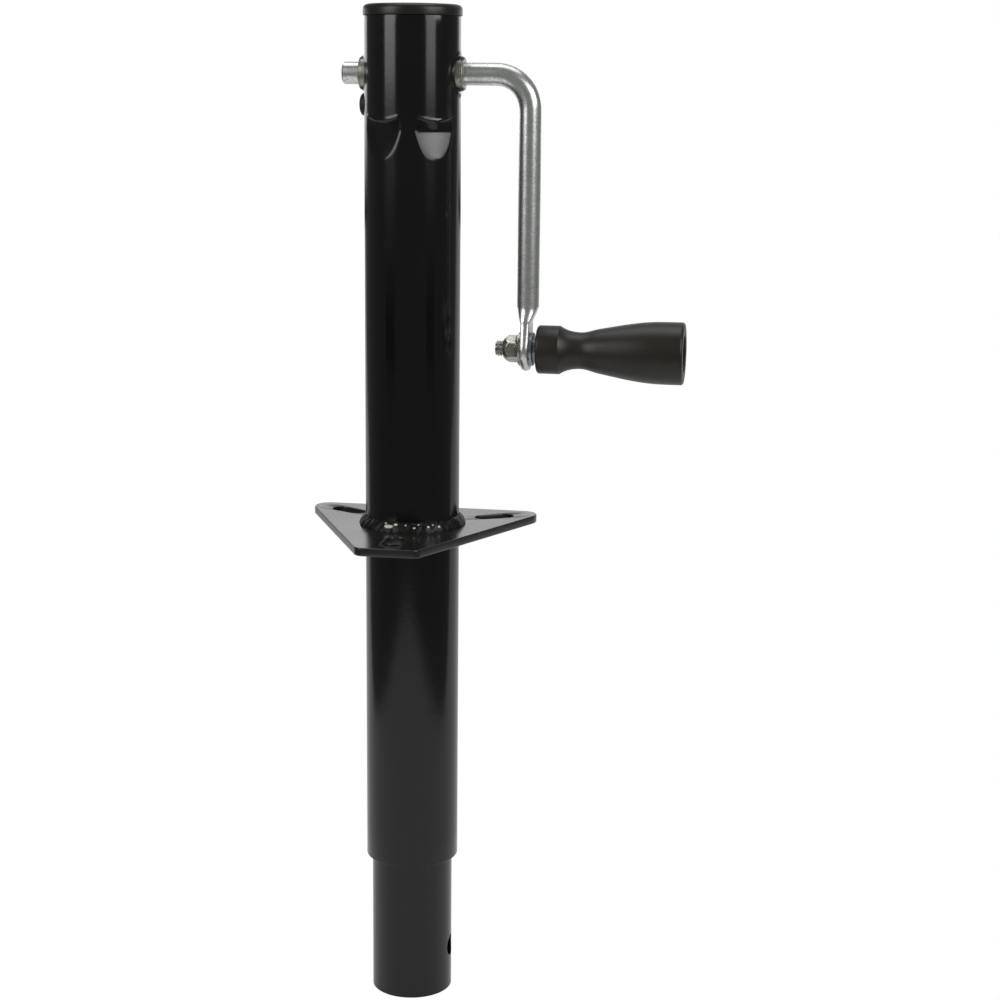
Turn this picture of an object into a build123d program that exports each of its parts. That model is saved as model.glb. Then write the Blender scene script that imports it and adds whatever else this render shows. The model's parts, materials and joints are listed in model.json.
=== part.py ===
from build123d import *
from math import acos, atan2, cos, hypot, pi, radians, sin, tan
import os

# Side-wind trailer tongue jack with a bolt-on plate. Millimetres, +Z up.
# Origin: centre of the plate's underside, on the axis of the tubes.
# The crank shaft lies along X with its handle on the +X side; -Y is the front.

os.makedirs("parts", exist_ok=True)

# ---- Driving dimensions -------------------------------------------------------------------

# Tubes
outer_radius = 28.5
outer_wall = 2.5
outer_above_plate = 307.0
outer_below_plate = 208.5
inner_radius = 25.0
inner_wall = 3.0
foot_below_plate = 298.0
travel = 340.0

# Mounting plate
plate_thickness = 5.0
slot_circle_radius = 53.5
slot_length = 25.0
slot_width = 11.0
slot_angles = (-90, 30, 150)
plate_front_reach = 74.0
plate_front_half_width = 18.0
plate_back_reach = 47.5
plate_side_half_width = 71.0
plate_side_edge = 12.5
plate_front_radius = 6.0
plate_back_radius = 9.0
weld_height = 6.0
weld_width = 4.0

# Top cap
cap_overhang = 0.6
cap_height = 7.0
cap_edge_radius = 2.6
cap_skirt_height = 12.0
cap_skirt_wall = 2.0

# Crank
shaft_height = 274.0
rod_radius = 6.5
rod_left_end = 41.5
arm_offset = 70.0
arm_length = 160.0
bend_radius = 20.0
rod_end_chamfer = 1.2
eye_thickness = 5.0
eye_shift = 0.7
eye_radius = 13.0
eye_flat_length = 16.0
eye_taper_length = 9.0

# Bushings
bushing_radius = 8.5
bushing_flange_radius = 10.0
bushing_proud = 2.6
bushing_inside = 1.5
bushing_chamfer = 0.7

# Grease plug
plug_height = 256.0
plug_radius = 6.6
plug_proud = 3.0
plug_stem_radius = 4.5
plug_stem_inside = 1.5
plug_dome_share = 0.6

# Crimp dimples that hold the bearing seat down
dimple_angles = (-119.0, -49.0, 61.0, 131.0)
dimple_height = 241.5
dimple_rise = 6.0
dimple_drop = 16.0
dimple_depth = 3.0
crimp_overcut = 3.0

# Bevel gears
pinion_teeth = 16
driven_teeth = 24
face_width = 6.0
backlash = 0.3
pinion_wall = 1.74
pinion_hub_radius = 8.3
driven_hub_radius = 13.0
driven_hub_drop = 10.5
gear_back_share = 0.35
tooth_sunk = 0.35
pressure_angle = 20.0
flank_steps = 5

# Lead screw and what rides on it
screw_radius = 8.0
screw_head_radius = 7.0
screw_head_above_gear = 0.6
screw_end_beyond_pin = 6.0
screw_end_chamfer = 1.5
collar_radius = 14.0
collar_height = 7.0
spacer_radius = 12.0
stop_washer_radius = 16.0
stop_washer_thickness = 3.0
stop_gap = 1.0
stop_pin_short = 2.0

# Bearing
seat_thickness = 8.0
seat_chamfer = 1.0
race_inner_radius = 8.6
race_outer_radius = 18.5
race_thickness = 4.8
ball_radius = 3.175
ball_count = 12
ball_circle_radius = 13.4
cage_thickness = 1.6
cage_outer_gap = 0.6
cage_inner_gap = 0.4

# Drive nut
nut_flange_thickness = 3.0
nut_body_length = 26.0
nut_below_collar = 4.0
plug_weld_radius = 4.0
plug_weld_count = 4

# Foot pin hole
foot_pin_height = 28.0
foot_pin_radius = 6.75

# Handle
grip_length = 87.3
grip_collar_radius = 14.4
grip_collar_length = 14.0
grip_collar_slope = 0.62
grip_neck_radius = 10.9
grip_neck_place = 26.0
grip_end_radius = 18.5
grip_swell_place = 40.0
grip_swell_rise = 0.35
grip_flare_place = 10.8
grip_flare_rise = 2.55
grip_edge_radius = 1.6
sleeve_radius = 7.0
bolt_radius = 4.76
bolt_tip_beyond_nut = 5.0
bolt_head_height = 6.0
bolt_head_sunk = 4.0
bolt_tip_chamfer = 0.8
hex_across_flats = 14.3
nut_height = 10.8
nut_flange_radius = 10.2
nut_flange_rim = 1.4
nut_cone_length = 3.0
nut_cone_taper = 35.0
nut_corner_out = 2.6
nut_corner_along = 3.4
washer_radius = 10.0
washer_thickness = 2.0
recess_room = 1.2
grip_gap = 2.3

# Pins and clip
small_pin_radius = 1.5
pinion_pin_inset = 2.0
large_pin_radius = 2.0
washer_plate = 1.2
clip_radius = 8.6
clip_groove_depth = 0.6
clip_mouth_share = 0.7

# Clearances
shaft_fit = 0.05
screw_fit = 0.1
side_gap = 0.3
seat_gap = 0.2
ball_gap = 0.12
grip_fit = 0.15

# ---- Worked-out places --------------------------------------------------------------------

outer_bore = outer_radius - outer_wall
cap_radius = outer_radius + cap_overhang
inner_bore = inner_radius - inner_wall
bushing_face = outer_radius + bushing_proud
bushing_inner_face = outer_bore - bushing_inside
past_the_wall = outer_radius + 5.0
pinion_pin_x = -bushing_inner_face + side_gap + pinion_pin_inset
clip_x = bushing_inner_face - side_gap - 2 * washer_plate

pinion_cone = atan2(pinion_teeth, driven_teeth)
driven_cone = atan2(driven_teeth, pinion_teeth)
# the module that leaves the pinion its wall round the shaft at the small end of its teeth
root_factor = pinion_teeth / 2 - 1.25 * cos(pinion_cone)
cone_factor = hypot(pinion_teeth, driven_teeth) / 2
gear_module = (rod_radius + pinion_wall + face_width * root_factor / cone_factor) / root_factor
pinion_pitch = gear_module * pinion_teeth / 2
driven_pitch = gear_module * driven_teeth / 2
cone_distance = hypot(pinion_pitch, driven_pitch)
toe_scale = (cone_distance - face_width) / cone_distance
addendum = gear_module
dedendum = 1.25 * gear_module

# Heights of the driven gear, measured along Z from the shaft axis down to its landmarks
driven_root_heel = shaft_height - pinion_pitch - dedendum * sin(driven_cone)
driven_root_toe = shaft_height - (pinion_pitch + dedendum * sin(driven_cone)) * toe_scale
driven_hub_bottom = driven_root_heel - driven_hub_drop
gear_pin_height = driven_hub_bottom + driven_hub_drop / 2

seat_top = dimple_height - dimple_drop - seat_gap
seat_bottom = seat_top - seat_thickness
upper_race_bottom = seat_bottom - race_thickness
groove_depth = ball_radius / 3
ball_height = upper_race_bottom - ball_radius + groove_depth - ball_gap
lower_race_top = 2 * ball_height - upper_race_bottom
lower_race_bottom = lower_race_top - race_thickness
collar_bottom = lower_race_bottom - collar_height
collar_pin_height = lower_race_bottom - collar_height / 2

nut_top = collar_bottom - nut_below_collar
inner_top = nut_top - nut_flange_thickness
nut_bottom = inner_top - nut_body_length
stop_washer_top = nut_bottom - travel - stop_gap
stop_pin_height = stop_washer_top - stop_washer_thickness - large_pin_radius
screw_bottom = stop_pin_height - screw_end_beyond_pin
screw_top = driven_root_toe + screw_head_above_gear

grip_height = shaft_height - arm_length
eye_inner_x = arm_offset - eye_shift - eye_thickness / 2
eye_outer_x = eye_inner_x + eye_thickness
grip_start = eye_outer_x + washer_thickness + grip_gap
grip_end = grip_start + grip_length
sleeve_start = eye_outer_x + washer_thickness
sleeve_end = grip_end - bolt_head_height - washer_thickness - bolt_head_sunk
recess_floor = sleeve_end - side_gap
recess_radius = washer_radius + recess_room
nut_face = eye_inner_x - nut_height
bolt_tip = nut_face - bolt_tip_beyond_nut
bolt_head_face = sleeve_end + washer_thickness


def involute_profile(pitch_radius, teeth, tip, root):
    """Half of one spur tooth, as (half_width, height) points from root to tip.

    Heights count from the pitch circle. Below the base circle the flank runs straight down.
    """
    pressure = radians(pressure_angle)
    base = pitch_radius * cos(pressure)
    half_angle = pi / (2 * teeth) - backlash / (4 * pitch_radius)
    pitch_roll = tan(pressure) - pressure
    points = []
    for step in range(flank_steps + 1):
        radius = pitch_radius - root + (tip + root) * step / flank_steps
        roll = 0.0
        if radius > base:
            angle = acos(base / radius)
            roll = tan(angle) - angle
        spread = half_angle + pitch_roll - roll
        points.append((radius * sin(spread), radius * cos(spread) - pitch_radius))
    return points


def bevel_tooth_sections(cone_angle, teeth, pitch_radius):
    """Heel and toe outlines of one tooth that points at +X of a gear whose apex is above it."""
    virtual_radius = pitch_radius / cos(cone_angle)
    virtual_teeth = teeth / cos(cone_angle)
    half = involute_profile(virtual_radius, virtual_teeth, addendum, dedendum + tooth_sunk)
    sections = []
    for scale in (1.0, toe_scale):
        reach = cone_distance * scale
        place = Plane(
            origin=(reach * sin(cone_angle), 0, -reach * cos(cone_angle)),
            x_dir=(0, 1, 0),
            z_dir=(sin(cone_angle), 0, -cos(cone_angle)),
        )
        sections.append((place, [(x * scale, y * scale) for x, y in half]))
    return sections


def bevel_tooth(cone_angle, teeth, pitch_radius):
    """One tooth, lofted in straight lines from its heel to its toe."""
    with BuildPart() as tooth:
        for place, half in bevel_tooth_sections(cone_angle, teeth, pitch_radius):
            with BuildSketch(place):
                with BuildLine():
                    Spline([(x, y) for x, y in half])
                    Line(half[-1], (-half[-1][0], half[-1][1]))
                    Spline([(-x, y) for x, y in reversed(half)])
                    Line((-half[0][0], half[0][1]), half[0])
                make_face()
        loft(ruled=True)
    return tooth.part


def bevel_gear(teeth, pitch_radius, cone_angle, hub_radius, hub_drop, bore, phase):
    """A straight bevel gear with its apex at the origin and its axis down -Z."""
    root_out = pitch_radius - dedendum * cos(cone_angle)
    root_down = pitch_radius / tan(cone_angle) + dedendum * sin(cone_angle)
    toe_out = root_out * toe_scale
    toe_down = root_down * toe_scale
    back_down = (root_out - hub_radius) * tan(cone_angle) * gear_back_share
    tooth = bevel_tooth(cone_angle, teeth, pitch_radius)
    with BuildPart() as gear:
        with BuildSketch(Plane.XZ):
            with BuildLine():
                Polyline(
                    (bore, -toe_down),
                    (toe_out, -toe_down),
                    (root_out, -root_down),
                    (hub_radius, -root_down - back_down),
                    (hub_radius, -root_down - hub_drop),
                    (bore, -root_down - hub_drop),
                    close=True,
                )
            make_face()
        revolve(axis=Axis.Z)
        for index in range(teeth):
            turn = 360 * (index + phase) / teeth
            add(tooth.rotate(Axis.Z, turn))
    return gear.part


# ---- Housing ------------------------------------------------------------------------------

with BuildPart() as tube_body:
    with BuildSketch(Plane.XY.offset(-outer_below_plate)):
        Circle(outer_radius)
    extrude(amount=outer_below_plate + outer_above_plate)


# Each crimp is a wedge pressed into the wall: a short slope above its deepest line and a long
# one below it. The wall that it pushes in stands out inside as the same wedge.
def crimp_wedge(surface_radius, extra):
    """The wedge that a crimp removes from a cylinder of this radius, pointing at +X."""
    deepest = surface_radius - dimple_depth
    out = dimple_depth + extra
    slope_up = dimple_rise / dimple_depth
    slope_down = dimple_drop / dimple_depth
    with BuildPart() as wedge:
        with BuildSketch(Plane.XZ):
            with BuildLine():
                Polyline(
                    (deepest, dimple_height),
                    (deepest + out, dimple_height + slope_up * out),
                    (deepest + out, dimple_height - slope_down * out),
                    close=True,
                )
            make_face()
        extrude(amount=outer_radius, both=True)
    return wedge.part


crimp_cut = crimp_wedge(outer_radius, crimp_overcut)
crimp_fill = crimp_wedge(outer_bore, outer_wall / 2)

with BuildPart() as crimp_wedges:
    for angle in dimple_angles:
        add(crimp_fill.rotate(Axis.Z, angle))

with BuildPart() as crimp_bumps:
    with BuildSketch(Plane.XY.offset(dimple_height - dimple_drop * 2)):
        Circle(outer_bore + outer_wall / 2)
    extrude(amount=(dimple_drop + dimple_rise) * 2)
    add(crimp_wedges.part, mode=Mode.INTERSECT)

with BuildPart() as outer_tube:
    with BuildSketch(Plane.XY.offset(-outer_below_plate)):
        Circle(outer_radius)
        Circle(outer_bore, mode=Mode.SUBTRACT)
    extrude(amount=outer_below_plate + outer_above_plate)
    add(crimp_bumps.part)
    for angle in dimple_angles:
        add(crimp_cut.rotate(Axis.Z, angle), mode=Mode.SUBTRACT)
    with BuildSketch(Plane.YZ):
        with Locations((0, shaft_height)):
            Circle(bushing_radius)
    extrude(amount=past_the_wall, both=True, mode=Mode.SUBTRACT)
    with BuildSketch(Plane.YZ):
        with Locations((0, plug_height)):
            Circle(plug_stem_radius)
    extrude(amount=-past_the_wall, mode=Mode.SUBTRACT)
outer_tube.part.label = "outer_tube"
export_step(outer_tube.part, "parts/outer_tube.step")

with BuildPart() as mount_plate:
    with BuildSketch():
        with BuildLine():
            Polyline(
                (-plate_side_half_width, plate_back_reach),
                (plate_side_half_width, plate_back_reach),
                (plate_side_half_width, plate_back_reach - plate_side_edge),
                (plate_front_half_width, -plate_front_reach),
                (-plate_front_half_width, -plate_front_reach),
                (-plate_side_half_width, plate_back_reach - plate_side_edge),
                close=True,
            )
        outline = make_face()
        corners = outline.vertices().group_by(Axis.Y)
        fillet(corners[0], plate_front_radius)
        fillet(corners[1] + corners[2], plate_back_radius)
        Circle(outer_radius, mode=Mode.SUBTRACT)
        for angle in slot_angles:
            with Locations(
                (slot_circle_radius * cos(radians(angle)), slot_circle_radius * sin(radians(angle)))
            ):
                SlotOverall(slot_length, slot_width, rotation=angle, mode=Mode.SUBTRACT)
    extrude(amount=plate_thickness)
mount_plate.part.label = "mount_plate"
export_step(mount_plate.part, "parts/mount_plate.step")

with BuildPart() as plate_weld:
    with BuildSketch(Plane.XZ):
        with BuildLine():
            Polyline(
                (outer_radius, plate_thickness),
                (outer_radius + weld_width, plate_thickness),
                (outer_radius, plate_thickness + weld_height),
                close=True,
            )
        make_face()
    revolve(axis=Axis.Z)
plate_weld.part.label = "plate_weld"
export_step(plate_weld.part, "parts/plate_weld.step")

with BuildPart() as top_cap:
    with BuildSketch(Plane.XY.offset(outer_above_plate)):
        Circle(cap_radius)
    extrude(amount=cap_height)
    fillet(top_cap.edges().group_by(Axis.Z)[-1], cap_edge_radius)
    with BuildSketch(Plane.XY.offset(outer_above_plate)):
        Circle(outer_bore)
        Circle(outer_bore - cap_skirt_wall, mode=Mode.SUBTRACT)
    extrude(amount=-cap_skirt_height)
top_cap.part.label = "top_cap"
export_step(top_cap.part, "parts/top_cap.step")

# The flange of each bushing is scooped out to sit on the round of the tube.
for name, side in (("shaft_bushing_left", -1), ("shaft_bushing_right", 1)):
    with BuildPart() as bushing:
        with BuildSketch(Plane.YZ.offset(side * bushing_inner_face)):
            with Locations((0, shaft_height)):
                Circle(bushing_flange_radius)
        extrude(amount=side * (bushing_face - bushing_inner_face))
        chamfer(bushing.edges().filter_by(GeomType.CIRCLE).sort_by(Axis.X)[::side][-1],
                bushing_chamfer)
        add(tube_body.part, mode=Mode.SUBTRACT)
        with BuildSketch(Plane.YZ.offset(side * bushing_inner_face)):
            with Locations((0, shaft_height)):
                Circle(bushing_radius)
        extrude(amount=side * (outer_radius + bushing_proud / 2 - bushing_inner_face))
        with BuildSketch(Plane.YZ):
            with Locations((0, shaft_height)):
                Circle(rod_radius + shaft_fit)
        extrude(amount=side * 2 * outer_radius, mode=Mode.SUBTRACT)
    bushing.part.label = name
    export_step(bushing.part, f"parts/{name}.step")

with BuildPart() as grease_plug:
    with BuildSketch(Plane.YZ.offset(-outer_bore)):
        with Locations((0, plug_height)):
            Circle(plug_radius)
    extrude(amount=-outer_wall - plug_proud)
    fillet(grease_plug.edges().group_by(Axis.X)[0], plug_proud * plug_dome_share)
    add(tube_body.part, mode=Mode.SUBTRACT)
    with BuildSketch(Plane.YZ.offset(-outer_bore + plug_stem_inside)):
        with Locations((0, plug_height)):
            Circle(plug_stem_radius)
    extrude(amount=-plug_stem_inside - outer_wall - plug_proud / 3)
grease_plug.part.label = "grease_plug"
export_step(grease_plug.part, "parts/grease_plug.step")

with BuildPart() as bearing_seat:
    with BuildSketch(Plane.XY.offset(seat_bottom)):
        Circle(outer_bore)
        Circle(screw_radius + screw_fit, mode=Mode.SUBTRACT)
    extrude(amount=seat_thickness)
    chamfer(bearing_seat.edges().group_by(Axis.Z)[-1].sort_by(SortBy.RADIUS)[-1], seat_chamfer)
bearing_seat.part.label = "bearing_seat"
export_step(bearing_seat.part, "parts/bearing_seat.step")


# ---- Thrust bearing -----------------------------------------------------------------------

def bearing_race(bottom):
    """A flat ring with the ball groove turned into the face that looks at the balls."""
    with BuildPart() as race:
        with BuildSketch(Plane.XY.offset(bottom)):
            Circle(race_outer_radius)
            Circle(race_inner_radius, mode=Mode.SUBTRACT)
        extrude(amount=race_thickness)
        with BuildSketch(Plane.XZ):
            with Locations((ball_circle_radius, ball_height)):
                Circle(ball_radius + ball_gap)
        revolve(axis=Axis.Z, mode=Mode.SUBTRACT)
    return race.part


upper_race = bearing_race(upper_race_bottom)
upper_race.label = "bearing_upper_race"
export_step(upper_race, "parts/bearing_upper_race.step")

lower_race = bearing_race(lower_race_bottom)
lower_race.label = "bearing_lower_race"
export_step(lower_race, "parts/bearing_lower_race.step")

with BuildPart() as ball_cage:
    with BuildSketch(Plane.XY.offset(ball_height - cage_thickness / 2)):
        Circle(race_outer_radius - cage_outer_gap)
        Circle(race_inner_radius + cage_inner_gap, mode=Mode.SUBTRACT)
    extrude(amount=cage_thickness)
    with BuildSketch(Plane.XY.offset(ball_height - cage_thickness)):
        with PolarLocations(ball_circle_radius, ball_count):
            Circle(ball_radius)
    extrude(amount=2 * cage_thickness, mode=Mode.SUBTRACT)
ball_cage.part.label = "ball_cage"
export_step(ball_cage.part, "parts/ball_cage.step")

with BuildPart() as bearing_balls:
    with Locations((0, 0, ball_height)):
        with PolarLocations(ball_circle_radius, ball_count):
            Sphere(ball_radius)
bearing_balls.part.label = "bearing_balls"
export_step(bearing_balls.part, "parts/bearing_balls.step")

# ---- Crank --------------------------------------------------------------------------------

rod_round_end = grip_height + eye_flat_length + eye_taper_length
with BuildPart() as crank_rod:
    with BuildLine() as rod_path:
        FilletPolyline(
            (-rod_left_end, 0, shaft_height),
            (arm_offset, 0, shaft_height),
            (arm_offset, 0, rod_round_end),
            radius=bend_radius,
        )
    with BuildSketch(Plane(origin=rod_path.line @ 0, z_dir=rod_path.line % 0)):
        Circle(rod_radius)
    sweep(path=rod_path.line)
    chamfer(crank_rod.edges().group_by(Axis.X)[0], rod_end_chamfer)
    # the round rod runs out into a flat eye
    with BuildSketch(Plane.XY.offset(rod_round_end)):
        with Locations((arm_offset, 0)):
            Circle(rod_radius)
    with BuildSketch(Plane.XY.offset(grip_height + eye_flat_length)):
        with Locations((arm_offset - eye_shift, 0)):
            SlotOverall(2 * rod_radius + eye_thickness, eye_thickness, rotation=90)
    loft()
    with BuildSketch(Plane.YZ.offset(eye_inner_x)):
        with Locations((0, grip_height)):
            Circle(eye_radius)
        with BuildLine():
            Polyline(
                (-rod_radius - eye_thickness / 2, grip_height + eye_flat_length),
                (rod_radius + eye_thickness / 2, grip_height + eye_flat_length),
                (eye_radius, grip_height),
                (-eye_radius, grip_height),
                close=True,
            )
        make_face()
        with Locations((0, grip_height)):
            Circle(bolt_radius, mode=Mode.SUBTRACT)
    extrude(amount=eye_thickness)
    # groove for the retaining ring
    with BuildSketch(Plane.YZ.offset(clip_x)):
        with Locations((0, shaft_height)):
            Circle(clip_radius)
            Circle(rod_radius - clip_groove_depth, mode=Mode.SUBTRACT)
    extrude(amount=washer_plate, mode=Mode.SUBTRACT)
    with BuildSketch(Plane.XY.offset(shaft_height)):
        with Locations((pinion_pin_x, 0)):
            Circle(small_pin_radius)
    extrude(amount=2 * rod_radius, both=True, mode=Mode.SUBTRACT)
crank_rod.part.label = "crank_rod"
export_step(crank_rod.part, "parts/crank_rod.step")

pinion_root_heel = driven_pitch + dedendum * sin(pinion_cone)
pinion_hub_drop = bushing_inner_face - side_gap - pinion_root_heel
pinion = bevel_gear(
    pinion_teeth, pinion_pitch, pinion_cone, pinion_hub_radius, pinion_hub_drop, rod_radius, 0.0
)
pinion = Pos(0, 0, shaft_height) * Rot(0, 90, 0) * pinion
with BuildPart() as pinion_gear:
    add(pinion)
    with BuildSketch(Plane.XY.offset(shaft_height)):
        with Locations((pinion_pin_x, 0)):
            Circle(small_pin_radius)
    extrude(amount=2 * pinion_hub_radius, both=True, mode=Mode.SUBTRACT)
pinion_gear.part.label = "pinion_gear"
export_step(pinion_gear.part, "parts/pinion_gear.step")

with BuildPart() as pinion_pin:
    with BuildSketch(Plane.XY.offset(shaft_height)):
        with Locations((pinion_pin_x, 0)):
            Circle(small_pin_radius)
    extrude(amount=pinion_hub_radius, both=True)
pinion_pin.part.label = "pinion_pin"
export_step(pinion_pin.part, "parts/pinion_pin.step")

with BuildPart() as shaft_washer:
    with BuildSketch(Plane.YZ.offset(bushing_inner_face - side_gap - washer_plate)):
        with Locations((0, shaft_height)):
            Circle(bushing_radius)
            Circle(rod_radius, mode=Mode.SUBTRACT)
    extrude(amount=washer_plate)
shaft_washer.part.label = "shaft_washer"
export_step(shaft_washer.part, "parts/shaft_washer.step")

with BuildPart() as retaining_ring:
    with BuildSketch(Plane.YZ.offset(clip_x)):
        with Locations((0, shaft_height)):
            Circle(clip_radius)
            Circle(rod_radius - clip_groove_depth, mode=Mode.SUBTRACT)
        with Locations((0, shaft_height + rod_radius)):
            Rectangle(rod_radius * clip_mouth_share, 2 * rod_radius * clip_mouth_share,
                      mode=Mode.SUBTRACT)
    extrude(amount=washer_plate)
retaining_ring.part.label = "retaining_ring"
export_step(retaining_ring.part, "parts/retaining_ring.step")

# ---- Handle -------------------------------------------------------------------------------

with BuildPart() as handle_bolt:
    with BuildSketch(Plane.YZ.offset(bolt_tip)):
        with Locations((0, grip_height)):
            Circle(bolt_radius)
    extrude(amount=bolt_head_face - bolt_tip)
    chamfer(handle_bolt.edges().group_by(Axis.X)[0], bolt_tip_chamfer)
    with BuildSketch(Plane.YZ.offset(bolt_head_face)):
        with Locations((0, grip_height)):
            RegularPolygon(hex_across_flats / 2, 6, major_radius=False)
    extrude(amount=bolt_head_height)
handle_bolt.part.label = "handle_bolt"
export_step(handle_bolt.part, "parts/handle_bolt.step")

# the round envelope that takes the corners off the outer end of the nut's hexagon
with BuildPart() as nut_envelope:
    with BuildSketch(Plane.YZ.offset(eye_inner_x)):
        with Locations((0, grip_height)):
            Circle(nut_flange_radius)
    extrude(amount=-nut_height)
    chamfer(nut_envelope.edges().group_by(Axis.X)[0], length=nut_corner_out, length2=nut_corner_along)

with BuildPart() as lock_nut:
    with BuildSketch(Plane.YZ.offset(nut_face)):
        with Locations((0, grip_height)):
            RegularPolygon(hex_across_flats / 2, 6, major_radius=False)
    extrude(amount=nut_height)
    with BuildSketch(Plane.YZ.offset(eye_inner_x)):
        with Locations((0, grip_height)):
            Circle(nut_flange_radius)
    extrude(amount=-nut_flange_rim)
    with BuildSketch(Plane.YZ.offset(eye_inner_x - nut_flange_rim)):
        with Locations((0, grip_height)):
            Circle(nut_flange_radius)
    extrude(amount=-nut_cone_length, taper=nut_cone_taper)
    add(nut_envelope.part, mode=Mode.INTERSECT)
    with BuildSketch(Plane.YZ.offset(nut_face)):
        with Locations((0, grip_height)):
            Circle(bolt_radius)
    extrude(amount=nut_height, mode=Mode.SUBTRACT)
lock_nut.part.label = "lock_nut"
export_step(lock_nut.part, "parts/lock_nut.step")

with BuildPart() as grip_sleeve:
    with BuildSketch(Plane.YZ.offset(sleeve_start)):
        with Locations((0, grip_height)):
            Circle(sleeve_radius)
            Circle(bolt_radius, mode=Mode.SUBTRACT)
    extrude(amount=sleeve_end - sleeve_start)
grip_sleeve.part.label = "grip_sleeve"
export_step(grip_sleeve.part, "parts/grip_sleeve.step")

# One washer lies on the eye and the other under the bolt's head.
with BuildPart() as handle_washers:
    for washer_x in (eye_outer_x, sleeve_end):
        with BuildSketch(Plane.YZ.offset(washer_x)):
            with Locations((0, grip_height)):
                Circle(washer_radius)
                Circle(bolt_radius, mode=Mode.SUBTRACT)
        extrude(amount=washer_thickness)
handle_washers.part.label = "handle_washers"
export_step(handle_washers.part, "parts/handle_washers.step")

with BuildPart() as handle_grip:
    with BuildSketch(Plane.XZ):
        with BuildLine():
            neck_x = grip_start + grip_neck_place
            collar_end = grip_start + grip_collar_length
            Polyline(
                (collar_end, grip_height + grip_collar_radius),
                (grip_start, grip_height + grip_collar_radius),
                (grip_start, grip_height + sleeve_radius + grip_fit),
                (recess_floor, grip_height + sleeve_radius + grip_fit),
                (recess_floor, grip_height + recess_radius),
                (grip_end, grip_height + recess_radius),
                (grip_end, grip_height + grip_end_radius),
            )
            Spline(
                (grip_end, grip_height + grip_end_radius),
                (neck_x + grip_swell_place, grip_height + grip_end_radius - grip_swell_rise),
                (neck_x + grip_flare_place, grip_height + grip_neck_radius + grip_flare_rise),
                (neck_x, grip_height + grip_neck_radius),
                (collar_end, grip_height + grip_collar_radius),
                tangents=[(-1, 0), (-1, grip_collar_slope)],
            )
        make_face()
    revolve(axis=Axis((0, 0, grip_height), (1, 0, 0)))
    rims = handle_grip.edges().filter_by(GeomType.CIRCLE)
    fillet([rims.sort_by(Axis.X)[0], rims.group_by(Axis.X)[-1].sort_by(SortBy.RADIUS)[-1]],
           grip_edge_radius)
handle_grip.part.label = "handle_grip"
export_step(handle_grip.part, "parts/handle_grip.step")

# ---- Screw and what turns with it ---------------------------------------------------------

with BuildPart() as lead_screw:
    with BuildSketch(Plane.XY.offset(screw_bottom)):
        Circle(screw_radius)
    extrude(amount=driven_hub_bottom - screw_bottom)
    with BuildSketch(Plane.XY.offset(driven_hub_bottom)):
        Circle(screw_head_radius)
    extrude(amount=screw_top - driven_hub_bottom)
    chamfer(lead_screw.edges().group_by(Axis.Z)[0], screw_end_chamfer)
    for height, radius in (
        (gear_pin_height, large_pin_radius),
        (collar_pin_height, small_pin_radius),
        (stop_pin_height, large_pin_radius),
    ):
        with BuildSketch(Plane.YZ):
            with Locations((0, height)):
                Circle(radius)
        extrude(amount=2 * screw_radius, both=True, mode=Mode.SUBTRACT)
lead_screw.part.label = "lead_screw"
export_step(lead_screw.part, "parts/lead_screw.step")

driven = bevel_gear(
    driven_teeth, driven_pitch, driven_cone, driven_hub_radius, driven_hub_drop,
    screw_head_radius, 0.5
)
with BuildPart() as driven_gear:
    add(Pos(0, 0, shaft_height) * driven)
    with BuildSketch(Plane.YZ):
        with Locations((0, gear_pin_height)):
            Circle(large_pin_radius)
    extrude(amount=2 * driven_hub_radius, both=True, mode=Mode.SUBTRACT)
driven_gear.part.label = "driven_gear"
export_step(driven_gear.part, "parts/driven_gear.step")

# Cross pins: each is as long as the hub or collar that it holds is wide.
for name, height, radius, half_length in (
    ("gear_pin", gear_pin_height, large_pin_radius, driven_hub_radius),
    ("collar_pin", collar_pin_height, small_pin_radius, collar_radius),
    ("stop_pin", stop_pin_height, large_pin_radius, stop_washer_radius - stop_pin_short),
):
    with BuildPart() as pin:
        with BuildSketch(Plane.YZ):
            with Locations((0, height)):
                Circle(radius)
        extrude(amount=half_length, both=True)
    pin.part.label = name
    export_step(pin.part, f"parts/{name}.step")

with BuildPart() as gear_spacer:
    with BuildSketch(Plane.XY.offset(seat_top + side_gap)):
        Circle(spacer_radius)
        Circle(screw_radius, mode=Mode.SUBTRACT)
    extrude(amount=driven_hub_bottom - seat_top - side_gap)
gear_spacer.part.label = "gear_spacer"
export_step(gear_spacer.part, "parts/gear_spacer.step")

with BuildPart() as thrust_collar:
    with BuildSketch(Plane.XY.offset(collar_bottom)):
        Circle(collar_radius)
        Circle(screw_radius, mode=Mode.SUBTRACT)
    extrude(amount=collar_height)
    with BuildSketch(Plane.YZ):
        with Locations((0, collar_pin_height)):
            Circle(small_pin_radius)
    extrude(amount=2 * collar_radius, both=True, mode=Mode.SUBTRACT)
thrust_collar.part.label = "thrust_collar"
export_step(thrust_collar.part, "parts/thrust_collar.step")

with BuildPart() as stop_washer:
    with BuildSketch(Plane.XY.offset(stop_washer_top - stop_washer_thickness)):
        Circle(stop_washer_radius)
        Circle(screw_radius, mode=Mode.SUBTRACT)
    extrude(amount=stop_washer_thickness)
stop_washer.part.label = "stop_washer"
export_step(stop_washer.part, "parts/stop_washer.step")

# ---- Drop leg -----------------------------------------------------------------------------

plug_weld_height = inner_top - nut_body_length / 2
with BuildPart() as plug_weld_rods:
    for index in range(plug_weld_count):
        with BuildSketch(Plane.YZ.rotated((0, 0, 45 + 360 * index / plug_weld_count))):
            with Locations((0, plug_weld_height)):
                Circle(plug_weld_radius)
        extrude(amount=2 * inner_radius)

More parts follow.
